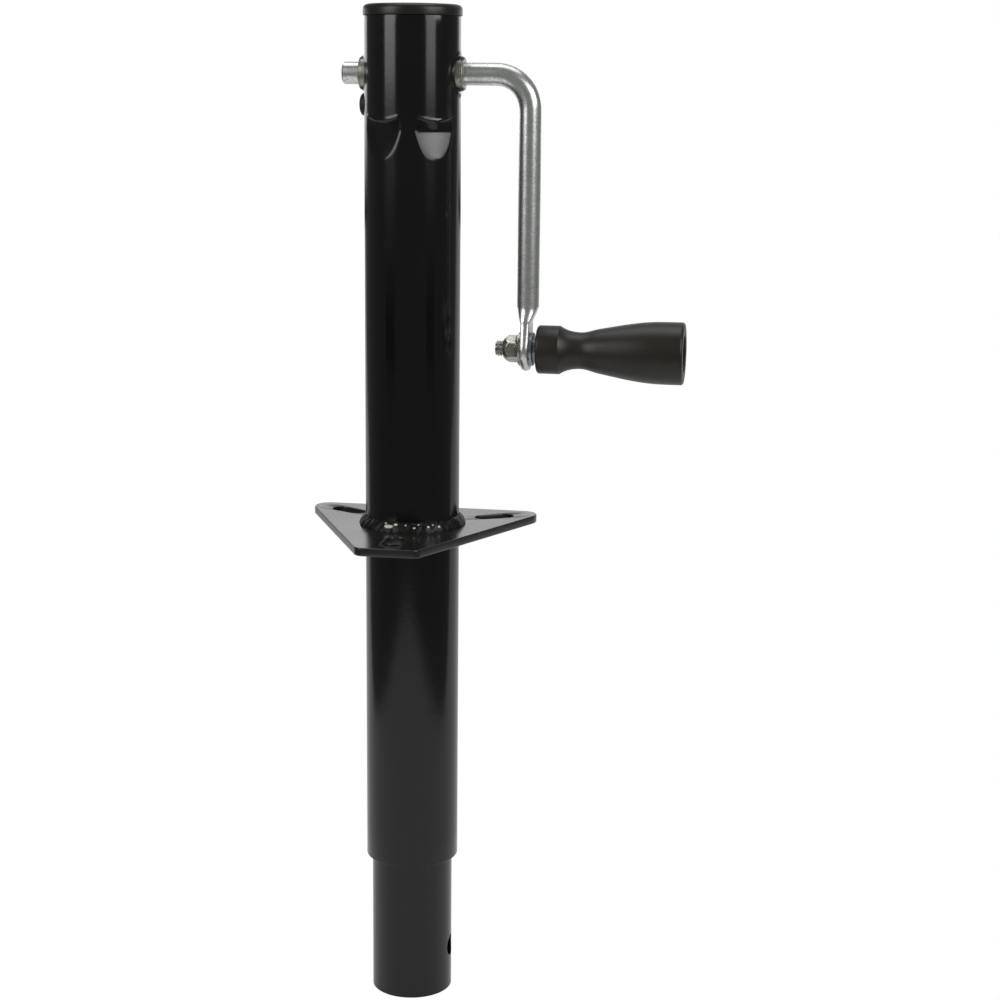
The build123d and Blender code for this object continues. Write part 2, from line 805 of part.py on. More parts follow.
with BuildPart() as inner_tube:
    with BuildSketch(Plane.XY.offset(-foot_below_plate)):
        Circle(inner_radius)
        Circle(inner_bore, mode=Mode.SUBTRACT)
    extrude(amount=foot_below_plate + inner_top)
    with BuildSketch(Plane.YZ):
        with Locations((0, foot_pin_height - foot_below_plate)):
            Circle(foot_pin_radius)
    extrude(amount=2 * inner_radius, both=True, mode=Mode.SUBTRACT)
    add(plug_weld_rods.part, mode=Mode.SUBTRACT)
inner_tube.part.label = "inner_tube"
export_step(inner_tube.part, "parts/inner_tube.step")

with BuildPart() as drive_nut:
    with BuildSketch(Plane.XY.offset(nut_bottom)):
        Circle(inner_bore)
    extrude(amount=nut_body_length)
    with BuildSketch(Plane.XY.offset(inner_top)):
        Circle(inner_radius)
    extrude(amount=nut_flange_thickness)
    with BuildSketch(Plane.XY.offset(nut_bottom)):
        Circle(screw_radius + screw_fit)
    extrude(amount=nut_body_length + nut_flange_thickness, mode=Mode.SUBTRACT)
drive_nut.part.label = "drive_nut"
export_step(drive_nut.part, "parts/drive_nut.step")

# Each plug weld fills its hole in the tube wall, flush inside and out.
with BuildPart() as nut_welds:
    with BuildSketch(Plane.XY.offset(plug_weld_height - 2 * plug_weld_radius)):
        Circle(inner_radius)
        Circle(inner_bore, mode=Mode.SUBTRACT)
    extrude(amount=4 * plug_weld_radius)
    add(plug_weld_rods.part, mode=Mode.INTERSECT)
nut_welds.part.label = "nut_welds"
export_step(nut_welds.part, "parts/nut_welds.step")
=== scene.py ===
import json
import bmesh
import bpy
import numpy as np
from mathutils import Matrix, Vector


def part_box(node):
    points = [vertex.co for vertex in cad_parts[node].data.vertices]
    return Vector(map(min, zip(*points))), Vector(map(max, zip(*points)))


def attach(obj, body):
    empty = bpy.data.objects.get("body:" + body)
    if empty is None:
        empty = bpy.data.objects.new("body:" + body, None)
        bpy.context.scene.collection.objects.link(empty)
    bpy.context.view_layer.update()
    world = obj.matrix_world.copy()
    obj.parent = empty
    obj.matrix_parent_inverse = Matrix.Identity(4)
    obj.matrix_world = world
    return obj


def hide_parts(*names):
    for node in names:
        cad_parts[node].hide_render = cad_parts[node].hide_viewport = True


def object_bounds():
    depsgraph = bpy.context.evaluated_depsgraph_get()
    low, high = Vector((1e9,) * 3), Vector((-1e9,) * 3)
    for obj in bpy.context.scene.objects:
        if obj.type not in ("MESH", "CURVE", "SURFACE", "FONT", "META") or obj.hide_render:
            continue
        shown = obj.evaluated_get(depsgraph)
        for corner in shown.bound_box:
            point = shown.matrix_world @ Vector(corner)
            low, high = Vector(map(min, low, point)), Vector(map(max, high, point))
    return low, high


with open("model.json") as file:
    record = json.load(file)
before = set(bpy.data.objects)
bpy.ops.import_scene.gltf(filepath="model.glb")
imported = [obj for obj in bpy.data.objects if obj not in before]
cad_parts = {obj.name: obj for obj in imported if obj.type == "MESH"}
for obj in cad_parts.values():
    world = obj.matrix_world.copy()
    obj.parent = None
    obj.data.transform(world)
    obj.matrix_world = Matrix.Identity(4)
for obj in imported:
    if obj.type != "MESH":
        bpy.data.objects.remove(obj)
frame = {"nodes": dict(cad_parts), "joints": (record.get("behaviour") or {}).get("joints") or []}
cadLow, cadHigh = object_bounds()

mm = 0.001          # shapes are worked out in millimetres and stored in metres
turn = 2 * np.pi
mergeGap = 0.002    # points closer than this are one point


# a CAD node's box in millimetres
def boxMm(node):
    low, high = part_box(node)
    return np.array(low) / mm, np.array(high) / mm


def jointPlaceMm(name):
    joint = next(j for j in frame["joints"] if j["name"] == name)
    return np.array(joint["pos_m"]) / mm


shaftHeight = jointPlaceMm("crank_turn")[2]
gripHeight = jointPlaceMm("grip_spin")[2]
tubeRadius = boxMm("outer_tube")[1][0]


# quads between the neighbours of a grid; a closed direction joins its end to its start
def gridQuads(rows, columns, closeRows, closeColumns):
    i = np.arange(rows if closeRows else rows - 1)[:, None]
    j = np.arange(columns if closeColumns else columns - 1)[None, :]
    down, right = (i + 1) % rows, (j + 1) % columns
    corners = [i * columns + j, i * columns + right, down * columns + right, down * columns + j]
    return np.stack(np.broadcast_arrays(*corners), -1).reshape(-1, 4)


# a mesh from closed grids of points; a grid that encloses negative volume is turned round
def meshFromGrids(name, grids, marks=None):
    points, quads, first = [], [], 0
    for grid, closeRows, closeColumns in grids:
        rows, columns = grid.shape[:2]
        faces = gridQuads(rows, columns, closeRows, closeColumns)
        spots = grid.reshape(-1, 3)
        a, b, c, d = (spots[faces[:, k]] - spots.mean(0) for k in range(4))
        volume = np.sum(a * (np.cross(b, c) + np.cross(c, d)))
        points.append(spots)
        quads.append((faces if volume > 0 else faces[:, ::-1]) + first)
        first += len(spots)
    mesh = bpy.data.meshes.new(name)
    mesh.from_pydata((np.concatenate(points) * mm).tolist(), [], np.concatenate(quads).tolist())
    for mark, values in (marks or {}).items():
        layer = mesh.attributes.new(mark, "FLOAT", "POINT")
        layer.data.foreach_set("value", np.asarray(values, np.float32).ravel())
    work = bmesh.new()
    work.from_mesh(mesh)
    bmesh.ops.remove_doubles(work, verts=work.verts, dist=mergeGap * mm)
    bmesh.ops.dissolve_degenerate(work, edges=work.edges, dist=mergeGap / 2 * mm)
    work.to_mesh(mesh)
    work.free()
    return mesh


def addObject(name, mesh):
    piece = bpy.data.objects.new(name, mesh)
    bpy.context.scene.collection.objects.link(piece)
    return piece


# takes the cutter's grids out of a piece and keeps only the result
def cutAway(piece, grids):
    tool = addObject("cutter", meshFromGrids("cutter", grids))
    step = piece.modifiers.new("holes", "BOOLEAN")
    step.operation, step.solver, step.object = "DIFFERENCE", "EXACT", tool
    bpy.context.view_layer.update()
    cut = bpy.data.meshes.new_from_object(piece.evaluated_get(bpy.context.evaluated_depsgraph_get()))
    piece.modifiers.clear()
    piece.data = cut
    bpy.data.objects.remove(tool)


# last steps that every new piece gets: smooth faces, creases, finish, body, stand-in
def settle(piece, material, body, nodes, crease=32):
    mesh = piece.data
    mesh.materials.clear()
    mesh.materials.append(material)
    mesh.polygons.foreach_set("use_smooth", np.ones(len(mesh.polygons), bool))
    mesh.set_sharp_from_angle(angle=np.radians(crease))
    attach(piece, body)
    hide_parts(*nodes)
    print("made", piece.name, "with", len(mesh.polygons), "faces")


# corners (along, out, radius): every corner becomes an arc that touches both of its runs
def roundedProfile(corners, closed=True, steps=4):
    c = np.array(corners, float)
    p, radius = c[:, :2], c[:, 2:3]
    back, ahead = np.roll(p, 1, 0) - p, np.roll(p, -1, 0) - p
    back /= np.linalg.norm(back, axis=1, keepdims=True)
    ahead /= np.linalg.norm(ahead, axis=1, keepdims=True)
    half = np.arccos(np.clip(np.sum(back * ahead, 1, keepdims=True), -1, 1)) / 2
    middle = back + ahead
    middle /= np.maximum(np.linalg.norm(middle, axis=1, keepdims=True), 1e-9)
    if not closed:
        radius[[0, -1]] = 0
    centre = p + middle * radius / np.sin(half)
    start, end = p + back * radius / np.tan(half) - centre, p + ahead * radius / np.tan(half) - centre
    sweep = np.maximum(np.pi - 2 * half, 1e-6)[:, None]
    t = np.linspace(0, 1, steps + 1)[None, :, None]
    arc = (np.sin((1 - t) * sweep) * start[:, None] + np.sin(t * sweep) * end[:, None]) / np.sin(sweep)
    made = (centre[:, None] + arc).reshape(-1, 2)
    keep = np.linalg.norm(made - np.roll(made, 1, 0), axis=1) > 1e-5
    keep[0] = True
    return made[keep]


# points spread along every run of a closed outline, no further apart than the step
def denser(outline, step):
    ring = np.vstack([outline, outline[:1]])
    length = np.append(0, np.cumsum(np.linalg.norm(np.diff(ring, axis=0), axis=1)))
    extra = np.arange(0, length[-1], step)
    place = np.unique(np.round(np.concatenate([length[:-1], extra]), 3))
    place = place[np.append(np.diff(place) > step / 8, True)]
    return np.stack([np.interp(place, length, ring[:, 0]), np.interp(place, length, ring[:, 1])], 1)


# puts (along, out) at an angle round an axis: "z" stands up, "x" lies along the shaft
def roundAxis(along, out, angle, axis, centre):
    along, out, angle = np.broadcast_arrays(along, out, angle)
    if axis == "z":
        grid = [out * np.cos(angle), out * np.sin(angle), along]
    else:
        grid = [along, out * np.cos(angle), out * np.sin(angle)]
    return np.stack(grid, -1) + np.array(centre, float)


# a turned shape: each profile point (along, out) goes once round the axis
def turned(profile, columns, axis="z", centre=(0, 0, 0)):
    angle = np.linspace(0, turn, columns, endpoint=False)[None, :]
    return roundAxis(profile[:, :1], profile[:, 1:], angle, axis, centre)


# a plain cylinder: a straight line at the radius goes once round, with a point at each end
def rod(radius, start, end, axis, centre=(0, 0, 0), columns=48):
    profile = np.array([(start, 0), (start, radius), (end, radius), (end, 0)], float)
    return turned(profile, columns, axis, centre), False, True


# a smooth line through points (x, y) with the slope given at each: a cubic between neighbours
def smoothThrough(points, x):
    px, py, slope = np.array(points, float).T
    k = np.clip(np.searchsorted(px, x, side="right") - 1, 0, len(px) - 2)
    width = px[k + 1] - px[k]
    t = (x - px[k]) / width
    return ((2 * t**3 - 3 * t**2 + 1) * py[k] + (t**3 - 2 * t**2 + t) * width * slope[k]
            + (3 * t**2 - 2 * t**3) * py[k + 1] + (t**3 - t**2) * width * slope[k + 1])


# three x squared less two x cubed, with x held between 0 and 1
def smoothStep(x):
    x = np.clip(x, 0, 1)
    return x * x * (3 - 2 * x)


# one material and the chain of nodes that its finish is built from
class Finish:

    def __init__(self, name):
        self.material = bpy.data.materials.new(name)
        self.material.use_nodes = True
        self.tree = self.material.node_tree
        self.shader = self.tree.nodes["Principled BSDF"]
        self.place = self.node("ShaderNodeTexCoord").outputs["Object"]

    def node(self, kind, inputs=None, **settings):
        made = self.tree.nodes.new(kind)
        for key, value in settings.items():
            setattr(made, key, value)
        for key, value in (inputs or {}).items():
            if isinstance(value, bpy.types.NodeSocket):
                self.tree.links.new(value, made.inputs[key])
            else:
                made.inputs[key].default_value = value
        return made

    def stretched(self, scale, tilt=(0, 0, 0)):
        inputs = {"Vector": self.place, "Scale": scale, "Rotation": tilt}
        return self.node("ShaderNodeMapping", inputs).outputs["Vector"]

    def noise(self, scale, detail=4.0, rough=0.55, vector=None):
        inputs = {"Vector": vector or self.place, "Scale": scale, "Detail": detail, "Roughness": rough}
        return self.node("ShaderNodeTexNoise", inputs).outputs["Fac"]

    def cells(self, scale):
        inputs = {"Vector": self.place, "Scale": scale}
        return self.node("ShaderNodeTexVoronoi", inputs).outputs["Distance"]

    def ramp(self, value, *stops):
        made = self.node("ShaderNodeValToRGB", {"Fac": value})
        band = made.color_ramp
        while len(band.elements) < len(stops):
            band.elements.new(0.5)
        for element, (place, colour) in zip(band.elements, stops):
            grey = (colour,) * 3 if isinstance(colour, (int, float)) else colour
            element.position, element.color = place, (*grey, 1)
        return made.outputs["Color"]

    def maths(self, kind, a, b=0.0):
        return self.node("ShaderNodeMath", {0: a, 1: b}, operation=kind).outputs[0]

    def mix(self, share, a, b):
        made = self.node("ShaderNodeMix", data_type="RGBA")
        for key, value in ((0, share), (6, a), (7, b)):
            if isinstance(value, bpy.types.NodeSocket):
                self.tree.links.new(value, made.inputs[key])
            else:
                made.inputs[key].default_value = value if key == 0 else (*value, 1)
        return made.outputs[2]

    def axis(self, name):
        return self.node("ShaderNodeSeparateXYZ", {0: self.place}).outputs[name]

    def mark(self, name):
        return self.node("ShaderNodeAttribute", attribute_name=name).outputs["Fac"]

    def bump(self, height, depth, strength=1.0):
        inputs = {"Height": height, "Distance": depth * mm, "Strength": strength}
        before = self.shader.inputs["Normal"]
        if before.is_linked:
            inputs["Normal"] = before.links[0].from_socket
        made = self.node("ShaderNodeBump", inputs)
        self.tree.links.new(made.outputs["Normal"], before)

    def wear(self, **inputs):
        for key, value in inputs.items():
            socket = self.shader.inputs[key.replace("_", " ")]
            if isinstance(value, bpy.types.NodeSocket):
                self.tree.links.new(value, socket)
            else:
                socket.default_value = value
        return self.material


# black gloss paint: faint orange peel, handling haze, dust specks and a few short scuffs
def blackPaint(name, haze, level=0.38, tone=1.0):
    paint = Finish(name)
    peel = paint.noise(420, 2, 0.5)
    cloud = paint.noise(22, 5, 0.6)
    specks = paint.ramp(paint.cells(520), (0.0, 1.0), (0.07, 0.0))
    scuffLine = paint.noise(1, 3, 0.5, paint.stretched((520, 520, 70), (0.3, 0.5, 0.2)))
    scuffArea = paint.ramp(paint.noise(29, 2, 0.4), (0.64, 0.0), (0.74, 1.0))
    scuffs = paint.maths("MULTIPLY", paint.ramp(scuffLine, (0.655, 0.0), (0.70, 1.0)), scuffArea)
    # tone scales the whole colour: above one it is painted light, a lighter copy of the same paint
    deep = tuple(tone * v for v in (0.0026, 0.0026, 0.0029))
    worn = tuple(tone * v for v in (0.0050, 0.0047, 0.0044))
    colour = paint.ramp(cloud, (0.3, deep), (0.75, worn))
    colour = paint.mix(paint.maths("MULTIPLY", specks, 0.10), colour, (0.16, 0.15, 0.14))
    colour = paint.mix(paint.maths("MULTIPLY", scuffs, 0.35), colour, (0.09, 0.085, 0.08))
    rough = paint.ramp(cloud, (0.25, haze), (0.8, haze + 0.06))
    rough = paint.mix(scuffs, rough, (0.5, 0.5, 0.5))
    paint.bump(peel, 0.05, 0.5)
    paint.bump(paint.noise(60, 2, 0.4), 0.12, 0.35)
    return paint.wear(Base_Color=colour, Roughness=rough, Specular_IOR_Level=level, Coat_Weight=0.2,
                      Coat_Roughness=0.12)


# the same paint thrown over a weld, duller, with painted glints: cream spots where the bead's attribute says,
# painted highlights standing in for light on the bead
def beadPaint(name):
    paint = Finish(name)
    soot = paint.noise(300, 5, 0.6)
    # painted highlight: cream glint spots from the bead's attribute, with ragged edges
    raggedGlint = paint.maths("ADD", paint.mark("paintedGlint"), paint.maths("MULTIPLY", paint.noise(900, 3, 0.6), 0.5))
    paintedGlint = paint.ramp(raggedGlint, (0.72, 0.0), (0.82, 1.0))
    colour = paint.ramp(soot, (0.35, (0.0030, 0.0030, 0.0030)), (0.7, (0.0085, 0.0075, 0.0065)))
    colour = paint.mix(paintedGlint, colour, (0.72, 0.67, 0.56))
    rough = paint.mix(paintedGlint, paint.ramp(soot, (0.3, 0.30), (0.7, 0.50)), (0.33, 0.33, 0.33))
    paint.bump(paint.noise(1100, 4, 0.6), 0.10, 0.7)
    return paint.wear(Base_Color=colour, Roughness=rough, Specular_IOR_Level=0.25)


# zinc plate: mottled grey to olive bloom over metal, with pits and drawn streaks
def zincPlate(name, light, dark, shine, streak=(90, 700, 700), painted=None):
    zinc = Finish(name)
    bloom = zinc.noise(480, 6, 0.7)
    patches = zinc.noise(85, 4, 0.6)
    lines = zinc.noise(1, 4, 0.6, zinc.stretched(streak))
    colour = zinc.ramp(bloom, (0.32, dark), (0.62, light))
    colour = zinc.mix(zinc.ramp(patches, (0.42, 0.0), (0.66, 0.6)), colour, dark)
    bright = tuple(min(1, 1.2 * v) for v in light)
    colour = zinc.mix(zinc.ramp(lines, (0.50, 0.0), (0.75, 0.45)), colour, bright)
    pits = zinc.ramp(zinc.cells(820), (0.0, 1.0), (0.10, 0.0))
    colour = zinc.mix(zinc.maths("MULTIPLY", pits, 0.4), colour, tuple(0.35 * v for v in dark))
    rough = zinc.ramp(bloom, (0.3, shine + 0.16), (0.7, shine))
    metal = zinc.ramp(patches, (0.3, 1.0), (0.8, 0.85))
    if painted is not None:         # overspray on the top and bottom of a flange
        reach = zinc.maths("ABSOLUTE", zinc.maths("SUBTRACT", zinc.axis("Z"), painted["height"] * mm))
        reach = zinc.maths("ADD", reach, zinc.maths("MULTIPLY", zinc.noise(300, 3), 2.0 * mm))
        share = zinc.maths("DIVIDE", reach, 12 * mm)
        cover = zinc.ramp(share, (painted["from"], 0.0), (painted["from"] + 0.06, 1.0))
        colour = zinc.mix(cover, colour, (0.006, 0.006, 0.006))
        metal = zinc.mix(cover, metal, (0.0, 0.0, 0.0))
        rough = zinc.mix(cover, rough, (0.3, 0.3, 0.3))
    zinc.bump(zinc.noise(900, 3, 0.5), 0.012, 0.4)
    zinc.bump(patches, 0.15, 0.35)
    return zinc.wear(Base_Color=colour, Roughness=rough, Metallic=metal)


# turned, ground or cut steel: fine tool lines across one direction under a film of grease
def workedSteel(name, tone, shine, lines=(30, 30, 2600), grease=0.0):
    steel = Finish(name)
    marks = steel.noise(1, 3, 0.6, steel.stretched(lines))
    film = steel.noise(120, 4, 0.6)
    colour = steel.ramp(marks, (0.3, tuple(0.8 * v for v in tone)), (0.7, tone))
    if grease:
        smear = steel.ramp(film, (0.45, 0.0), (0.62, grease))
        colour = steel.mix(smear, colour, (0.10, 0.065, 0.025))
    rough = steel.ramp(film, (0.3, shine), (0.7, shine + 0.14))
    steel.bump(marks, 0.02, 0.5)
    return steel.wear(Base_Color=colour, Roughness=rough, Metallic=0.95)


# moulded plastic or rubber: fine spark-eroded grain and a slight bloom
def mouldedBlack(name, tone, shine, grain):
    plastic = Finish(name)
    cloud = plastic.noise(45, 4, 0.6)
    colour = plastic.ramp(cloud, (0.3, tone), (0.75, tuple(1.5 * v for v in tone)))
    rough = plastic.ramp(plastic.noise(160, 4), (0.3, shine), (0.7, shine + 0.08))
    plastic.bump(plastic.noise(grain, 3, 0.6), 0.03, 0.6)
    plastic.bump(cloud, 0.2, 0.15)
    return plastic.wear(Base_Color=colour, Roughness=rough, Specular_IOR_Level=0.45)


# bare weld metal: heat colours and scale over coarse grain
def weldMetal(name):
    weld = Finish(name)
    heat = weld.noise(240, 5, 0.6)
    colour = weld.ramp(heat, (0.3, (0.09, 0.075, 0.07)), (0.5, (0.22, 0.20, 0.19)), (0.7, (0.13, 0.12, 0.16)))
    weld.bump(weld.noise(700, 5, 0.7), 0.2, 0.8)
    return weld.wear(Base_Color=colour, Roughness=weld.ramp(heat, (0.3, 0.4), (0.7, 0.6)), Metallic=0.9)


tubePaint = blackPaint("tubePaint", 0.12)
# painted light: the plate's copy of the black paint is 3.6 times lighter, standing in for the sheen its top
# reflects
litPlatePaint = blackPaint("litPlatePaint", 0.24, 0.6, 3.6)
weldPaint = beadPaint("weldPaint")
capPlastic = mouldedBlack("capPlastic", (0.0095, 0.0085, 0.0068), 0.31, 1500)
rodZinc = zincPlate("rodZinc", (0.88, 0.90, 0.87), (0.50, 0.53, 0.50), 0.22)
flangeZinc = zincPlate("flangeZinc", (0.50, 0.49, 0.43), (0.24, 0.23, 0.20), 0.30,
                       painted={"height": shaftHeight, "from": 0.69})
nutZinc = zincPlate("nutZinc", (0.66, 0.66, 0.61), (0.28, 0.28, 0.24), 0.20)
# painted shade: a darker copy of the zinc, standing in for the shadow over the washers by the grip; the grip
# sleeve takes it too
shadedWasherZinc = zincPlate("shadedWasherZinc", (0.46, 0.49, 0.54), (0.20, 0.21, 0.24), 0.26)
gripPlastic = mouldedBlack("gripPlastic", (0.0135, 0.0120, 0.0080), 0.36, 1800)
plugRubber = mouldedBlack("plugRubber", (0.010, 0.010, 0.010), 0.50, 900)
gearSteel = workedSteel("gearSteel", (0.42, 0.41, 0.39), 0.36, (900, 900, 300), grease=0.75)
pinSteel = workedSteel("pinSteel", (0.55, 0.55, 0.54), 0.28, (1500, 60, 60))
turnedSteel = workedSteel("turnedSteel", (0.46, 0.46, 0.45), 0.32, grease=0.35)
threadSteel = workedSteel("threadSteel", (0.44, 0.43, 0.41), 0.30, (400, 400, 1200), grease=0.85)
raceSteel = workedSteel("raceSteel", (0.66, 0.66, 0.66), 0.18, (60, 60, 3500), grease=0.2)
ballSteel = workedSteel("ballSteel", (0.78, 0.78, 0.79), 0.08, (300, 300, 300))
cageBrass = workedSteel("cageBrass", (0.72, 0.50, 0.20), 0.30, (500, 500, 500), grease=0.25)
weldSteel = weldMetal("weldSteel")
print("finishes ready")

# CAD nodes whose shape is right keep it and take a finish
keptFinishes = {
    "pinion_gear": gearSteel, "driven_gear": gearSteel,
    "pinion_pin": pinSteel, "gear_pin": pinSteel, "collar_pin": pinSteel, "stop_pin": pinSteel,
    "shaft_washer": pinSteel, "retaining_ring": pinSteel,
    "gear_spacer": turnedSteel, "thrust_collar": turnedSteel, "stop_washer": turnedSteel,
    "bearing_seat": turnedSteel, "drive_nut": turnedSteel,
    "bearing_upper_race": raceSteel, "bearing_lower_race": raceSteel,
    "ball_cage": cageBrass, "bearing_balls": ballSteel,
    "nut_welds": weldSteel, "grip_sleeve": shadedWasherZinc,
}
for nodeName, finish in keptFinishes.items():
    nodeMesh = frame["nodes"][nodeName].data
    nodeMesh.materials.clear()
    nodeMesh.materials.append(finish)


tube = {
    "wall": 2.5,
    "rimRound": 0.6,
    "columns": 240,
    "dimpleAngles": (-119, -49, 61, 131),   # from +X, degrees
    "dimpleHeight": 241.5,                  # the deepest line
    "dimpleDepth": 3.0,
    "dimpleRise": 6.0,                      # deepest line up to the crease, at the middle
    "dimpleSmile": 3.0,                     # how much higher that crease ends
    "dimpleDrop": 16.0,
    "dimpleFullness": 3.0,
    "ridgeRise": 0.38,                      # metal thrown up along the upper crease
    "ridgeWidth": 0.7,
    "lipRadius": 11.6,                      # raised ring round each bushing
    "lipWidth": 1.3,
    "lipRise": 0.35,
    "underFlange": 1.5,                     # how far a flange overlaps its hole
    "plugHoleRadius": 4.5,
    "fineStep": 0.5,
    "fineBelow": 22.0,                      # fine rows from here under the deepest line
    "fineAbove": 15.0,                      # up to here over the shaft
    "coarseStep": 18.0,
}


# How far the wall is pushed in. Across a dimple the pressed face is flat, so its depth is the
# tube's radius less the flat's distance over the cosine of the angle. Up and down, that depth
# fades in a straight line from the deepest line to a crease that bends up at its ends, and
# below to a tip, along one minus the angle's share cubed. A bell-shaped ridge, e to the minus
# square of the distance from the upper crease over its width, stands along that crease.
def dimplePress(angle, height, radius):
    press = np.zeros(np.broadcast_shapes(angle.shape, height.shape))
    ridge = 0 * press
    flat = radius - tube["dimpleDepth"]
    edge = np.arccos(flat / radius)
    for middle in np.radians(tube["dimpleAngles"]):
        away = (angle - middle + np.pi) % turn - np.pi
        inside = np.abs(away) < edge
        share = np.clip(np.abs(away) / edge, 0, 1)
        depth = np.where(inside, radius - flat / np.cos(np.where(inside, away, 0)), 0)
        crease = tube["dimpleRise"] + tube["dimpleSmile"] * share**2
        above = (height - tube["dimpleHeight"]) / crease
        offRidge = (height - tube["dimpleHeight"] - crease) / tube["ridgeWidth"]
        tip = tube["dimpleDrop"] * np.maximum(1 - share ** tube["dimpleFullness"], 0.05)
        below = (tube["dimpleHeight"] - height) / tip
        press += depth * np.clip(1 - np.maximum(above, below), 0, 1)
        ridge += np.exp(-(offRidge**2)) * smoothStep((1 - share) * 8)
    for _ in range(2):              # small radii along every crease
        for way in (0, 1):
            press = (np.roll(press, 1, way) + 2 * press + np.roll(press, -1, way)) / 4
    return press - tube["ridgeRise"] * ridge


# The tube's wall: out at the radius less the press, in at the bore less the same press, with
# quarter rounds at both rims, so a grid of height by angle closes both ways.
def makeTube():
    low, high = boxMm("outer_tube")
    radius, wall, soft = high[0], tube["wall"], tube["rimRound"]
    fineLow, fineHigh = tube["dimpleHeight"] - tube["fineBelow"], shaftHeight + tube["fineAbove"]
    height = np.concatenate([
        np.arange(low[2] + soft, fineLow, tube["coarseStep"]),
        np.arange(fineLow, fineHigh, tube["fineStep"]),
        np.linspace(fineHigh, high[2] - soft, 4)])
    bend = np.linspace(0, np.pi / 2, 5)[1:]
    angle = np.linspace(0, turn, tube["columns"], endpoint=False)[None, :]
    rise = height[:, None]
    press = dimplePress(angle, rise, radius)
    across = np.hypot(radius * np.sin(angle), rise - shaftHeight)
    lip = tube["lipRise"] * np.exp(-((across - tube["lipRadius"]) / tube["lipWidth"]) ** 2)
    outside = radius - press + lip
    inside = radius - wall - press
    top, bore = high[2] - soft, radius - wall + soft
    topOut = np.stack([top + soft * np.sin(bend), radius - soft + soft * np.cos(bend)], 1)
    topIn = np.stack([top + soft * np.cos(bend), bore - soft * np.sin(bend)], 1)
    rimTop = np.vstack([topOut, topIn])
    rimLow = rimTop * [-1, 1] + [high[2] + low[2], 0]
    rims = [np.repeat(r[:, 1:], angle.size, 1) for r in (rimTop, rimLow[::-1])]
    out = np.vstack([outside, rims[0], inside[::-1], rims[1]])
    along = np.concatenate([height, rimTop[:, 0], height[::-1], rimLow[::-1, 0]])[:, None]
    piece = addObject("tube_shell", meshFromGrids("tube_shell", [
        (roundAxis(along, out, angle, "z", (0, 0, 0)), True, True)]))
    shaftHole = boxMm("shaft_bushing_right")[1][1] - tube["underFlange"]
    plugLow, plugHigh = boxMm("grease_plug")
    cutAway(piece, [
        rod(shaftHole, -radius - 5, radius + 5, "x", (0, 0, shaftHeight), 64),
        rod(tube["plugHoleRadius"], -radius - 5, 0, "x", (0, 0, (plugLow[2] + plugHigh[2]) / 2))])
    settle(piece, tubePaint, "housing", ["outer_tube"], crease=40)


makeTube()


plate = {
    "frontHalfWidth": 18.0,
    "sideEdge": 12.5,
    "frontRadius": 6.0,
    "backRadius": 9.0,
    "sideRadius": 5.4,
    "edgeRound": 0.7,
    "rimBand": 0.4,       # a narrow flat row inside the edge keeps its shading crisp
    "outlineStep": 2.5,
    "slotAngles": (-90, 30, 150),
    "slotCircle": 53.5,
    "slotLength": 25.0,
    "slotWidth": 11.0,
    "slotFlare": 0.5,
}


# The plate's edge profile, a half-round-cornered band, is carried along the outline on the
# outline's own normal, and its two inner ends run in to the tube's circle on straight lines.
def makePlate():
    low, high = boxMm("mount_plate")
    thick, soft = high[2] - low[2], plate["edgeRound"]
    front, side = plate["frontHalfWidth"], high[1] - plate["sideEdge"]
    outline = roundedProfile([
        (low[0], high[1], plate["backRadius"]), (low[0], side, plate["sideRadius"]),
        (-front, low[1], plate["frontRadius"]), (front, low[1], plate["frontRadius"]),
        (high[0], side, plate["sideRadius"]), (high[0], high[1], plate["backRadius"]),
    ], steps=8)
    outline = denser(outline, plate["outlineStep"])
    along = np.roll(outline, -1, 0) - np.roll(outline, 1, 0)
    normal = np.stack([along[:, 1], -along[:, 0]], 1) / np.linalg.norm(along, axis=1, keepdims=True)
    normal *= np.sign(np.sum(normal * outline, 1).mean())
    bend = np.linspace(0, np.pi / 2, 5)
    inset = np.concatenate([[soft + plate["rimBand"]], soft - soft * np.sin(bend)])
    level = np.concatenate([[thick], thick - soft + soft * np.cos(bend)])
    inset, level = np.append(inset, inset[::-1]), np.append(level, thick - level[::-1])
    edge = outline[None] - normal[None] * inset[:, None, None]
    ring = outline / np.linalg.norm(outline, axis=1, keepdims=True) * tubeRadius
    flat = np.concatenate([ring[None], edge, ring[None]])
    heights = np.concatenate([[thick], level, [0]])[:, None] + low[2]
    grid = np.dstack([flat, np.broadcast_to(heights, flat.shape[:2])])
    piece = addObject("plate", meshFromGrids("plate", [(grid, True, True)]))
    cutAway(piece, [slotCutter(np.radians(a), low[2], thick) for a in plate["slotAngles"]])
    settle(piece, litPlatePaint, "housing", ["mount_plate"])


# A slot: two half circles about the ends of its centre line, wider by the flare at both faces.
def slotCutter(direction, bottom, thick):
    half = (plate["slotLength"] - plate["slotWidth"]) / 2
    radius, flare = plate["slotWidth"] / 2, plate["slotFlare"]
    levels = np.array([-1, 0, flare / 3, flare, thick - flare, thick - flare / 3, thick, thick + 1])
    wider = np.array([flare, flare, flare / 4, 0, 0, flare / 4, flare, flare])
    bend = np.linspace(-np.pi / 2, np.pi / 2, 17)
    angle = np.concatenate([bend, bend + np.pi])
    side = np.repeat([half, -half], 17)
    out = (radius + wider)[:, None]
    x = plate["slotCircle"] + side[None] + out * np.cos(angle)[None]
    y = out * np.sin(angle)[None]
    middle = 0 * x[:1]
    x = np.vstack([middle + plate["slotCircle"], x, middle + plate["slotCircle"]])
    y = np.vstack([middle, y, middle])
    z = np.concatenate([levels[:1], levels, levels[-1:]])[:, None] + bottom + 0 * x
    c, s = np.cos(direction), np.sin(direction)
    return np.stack([x * c - y * s, x * s + y * c, z], -1), False, True


makePlate()

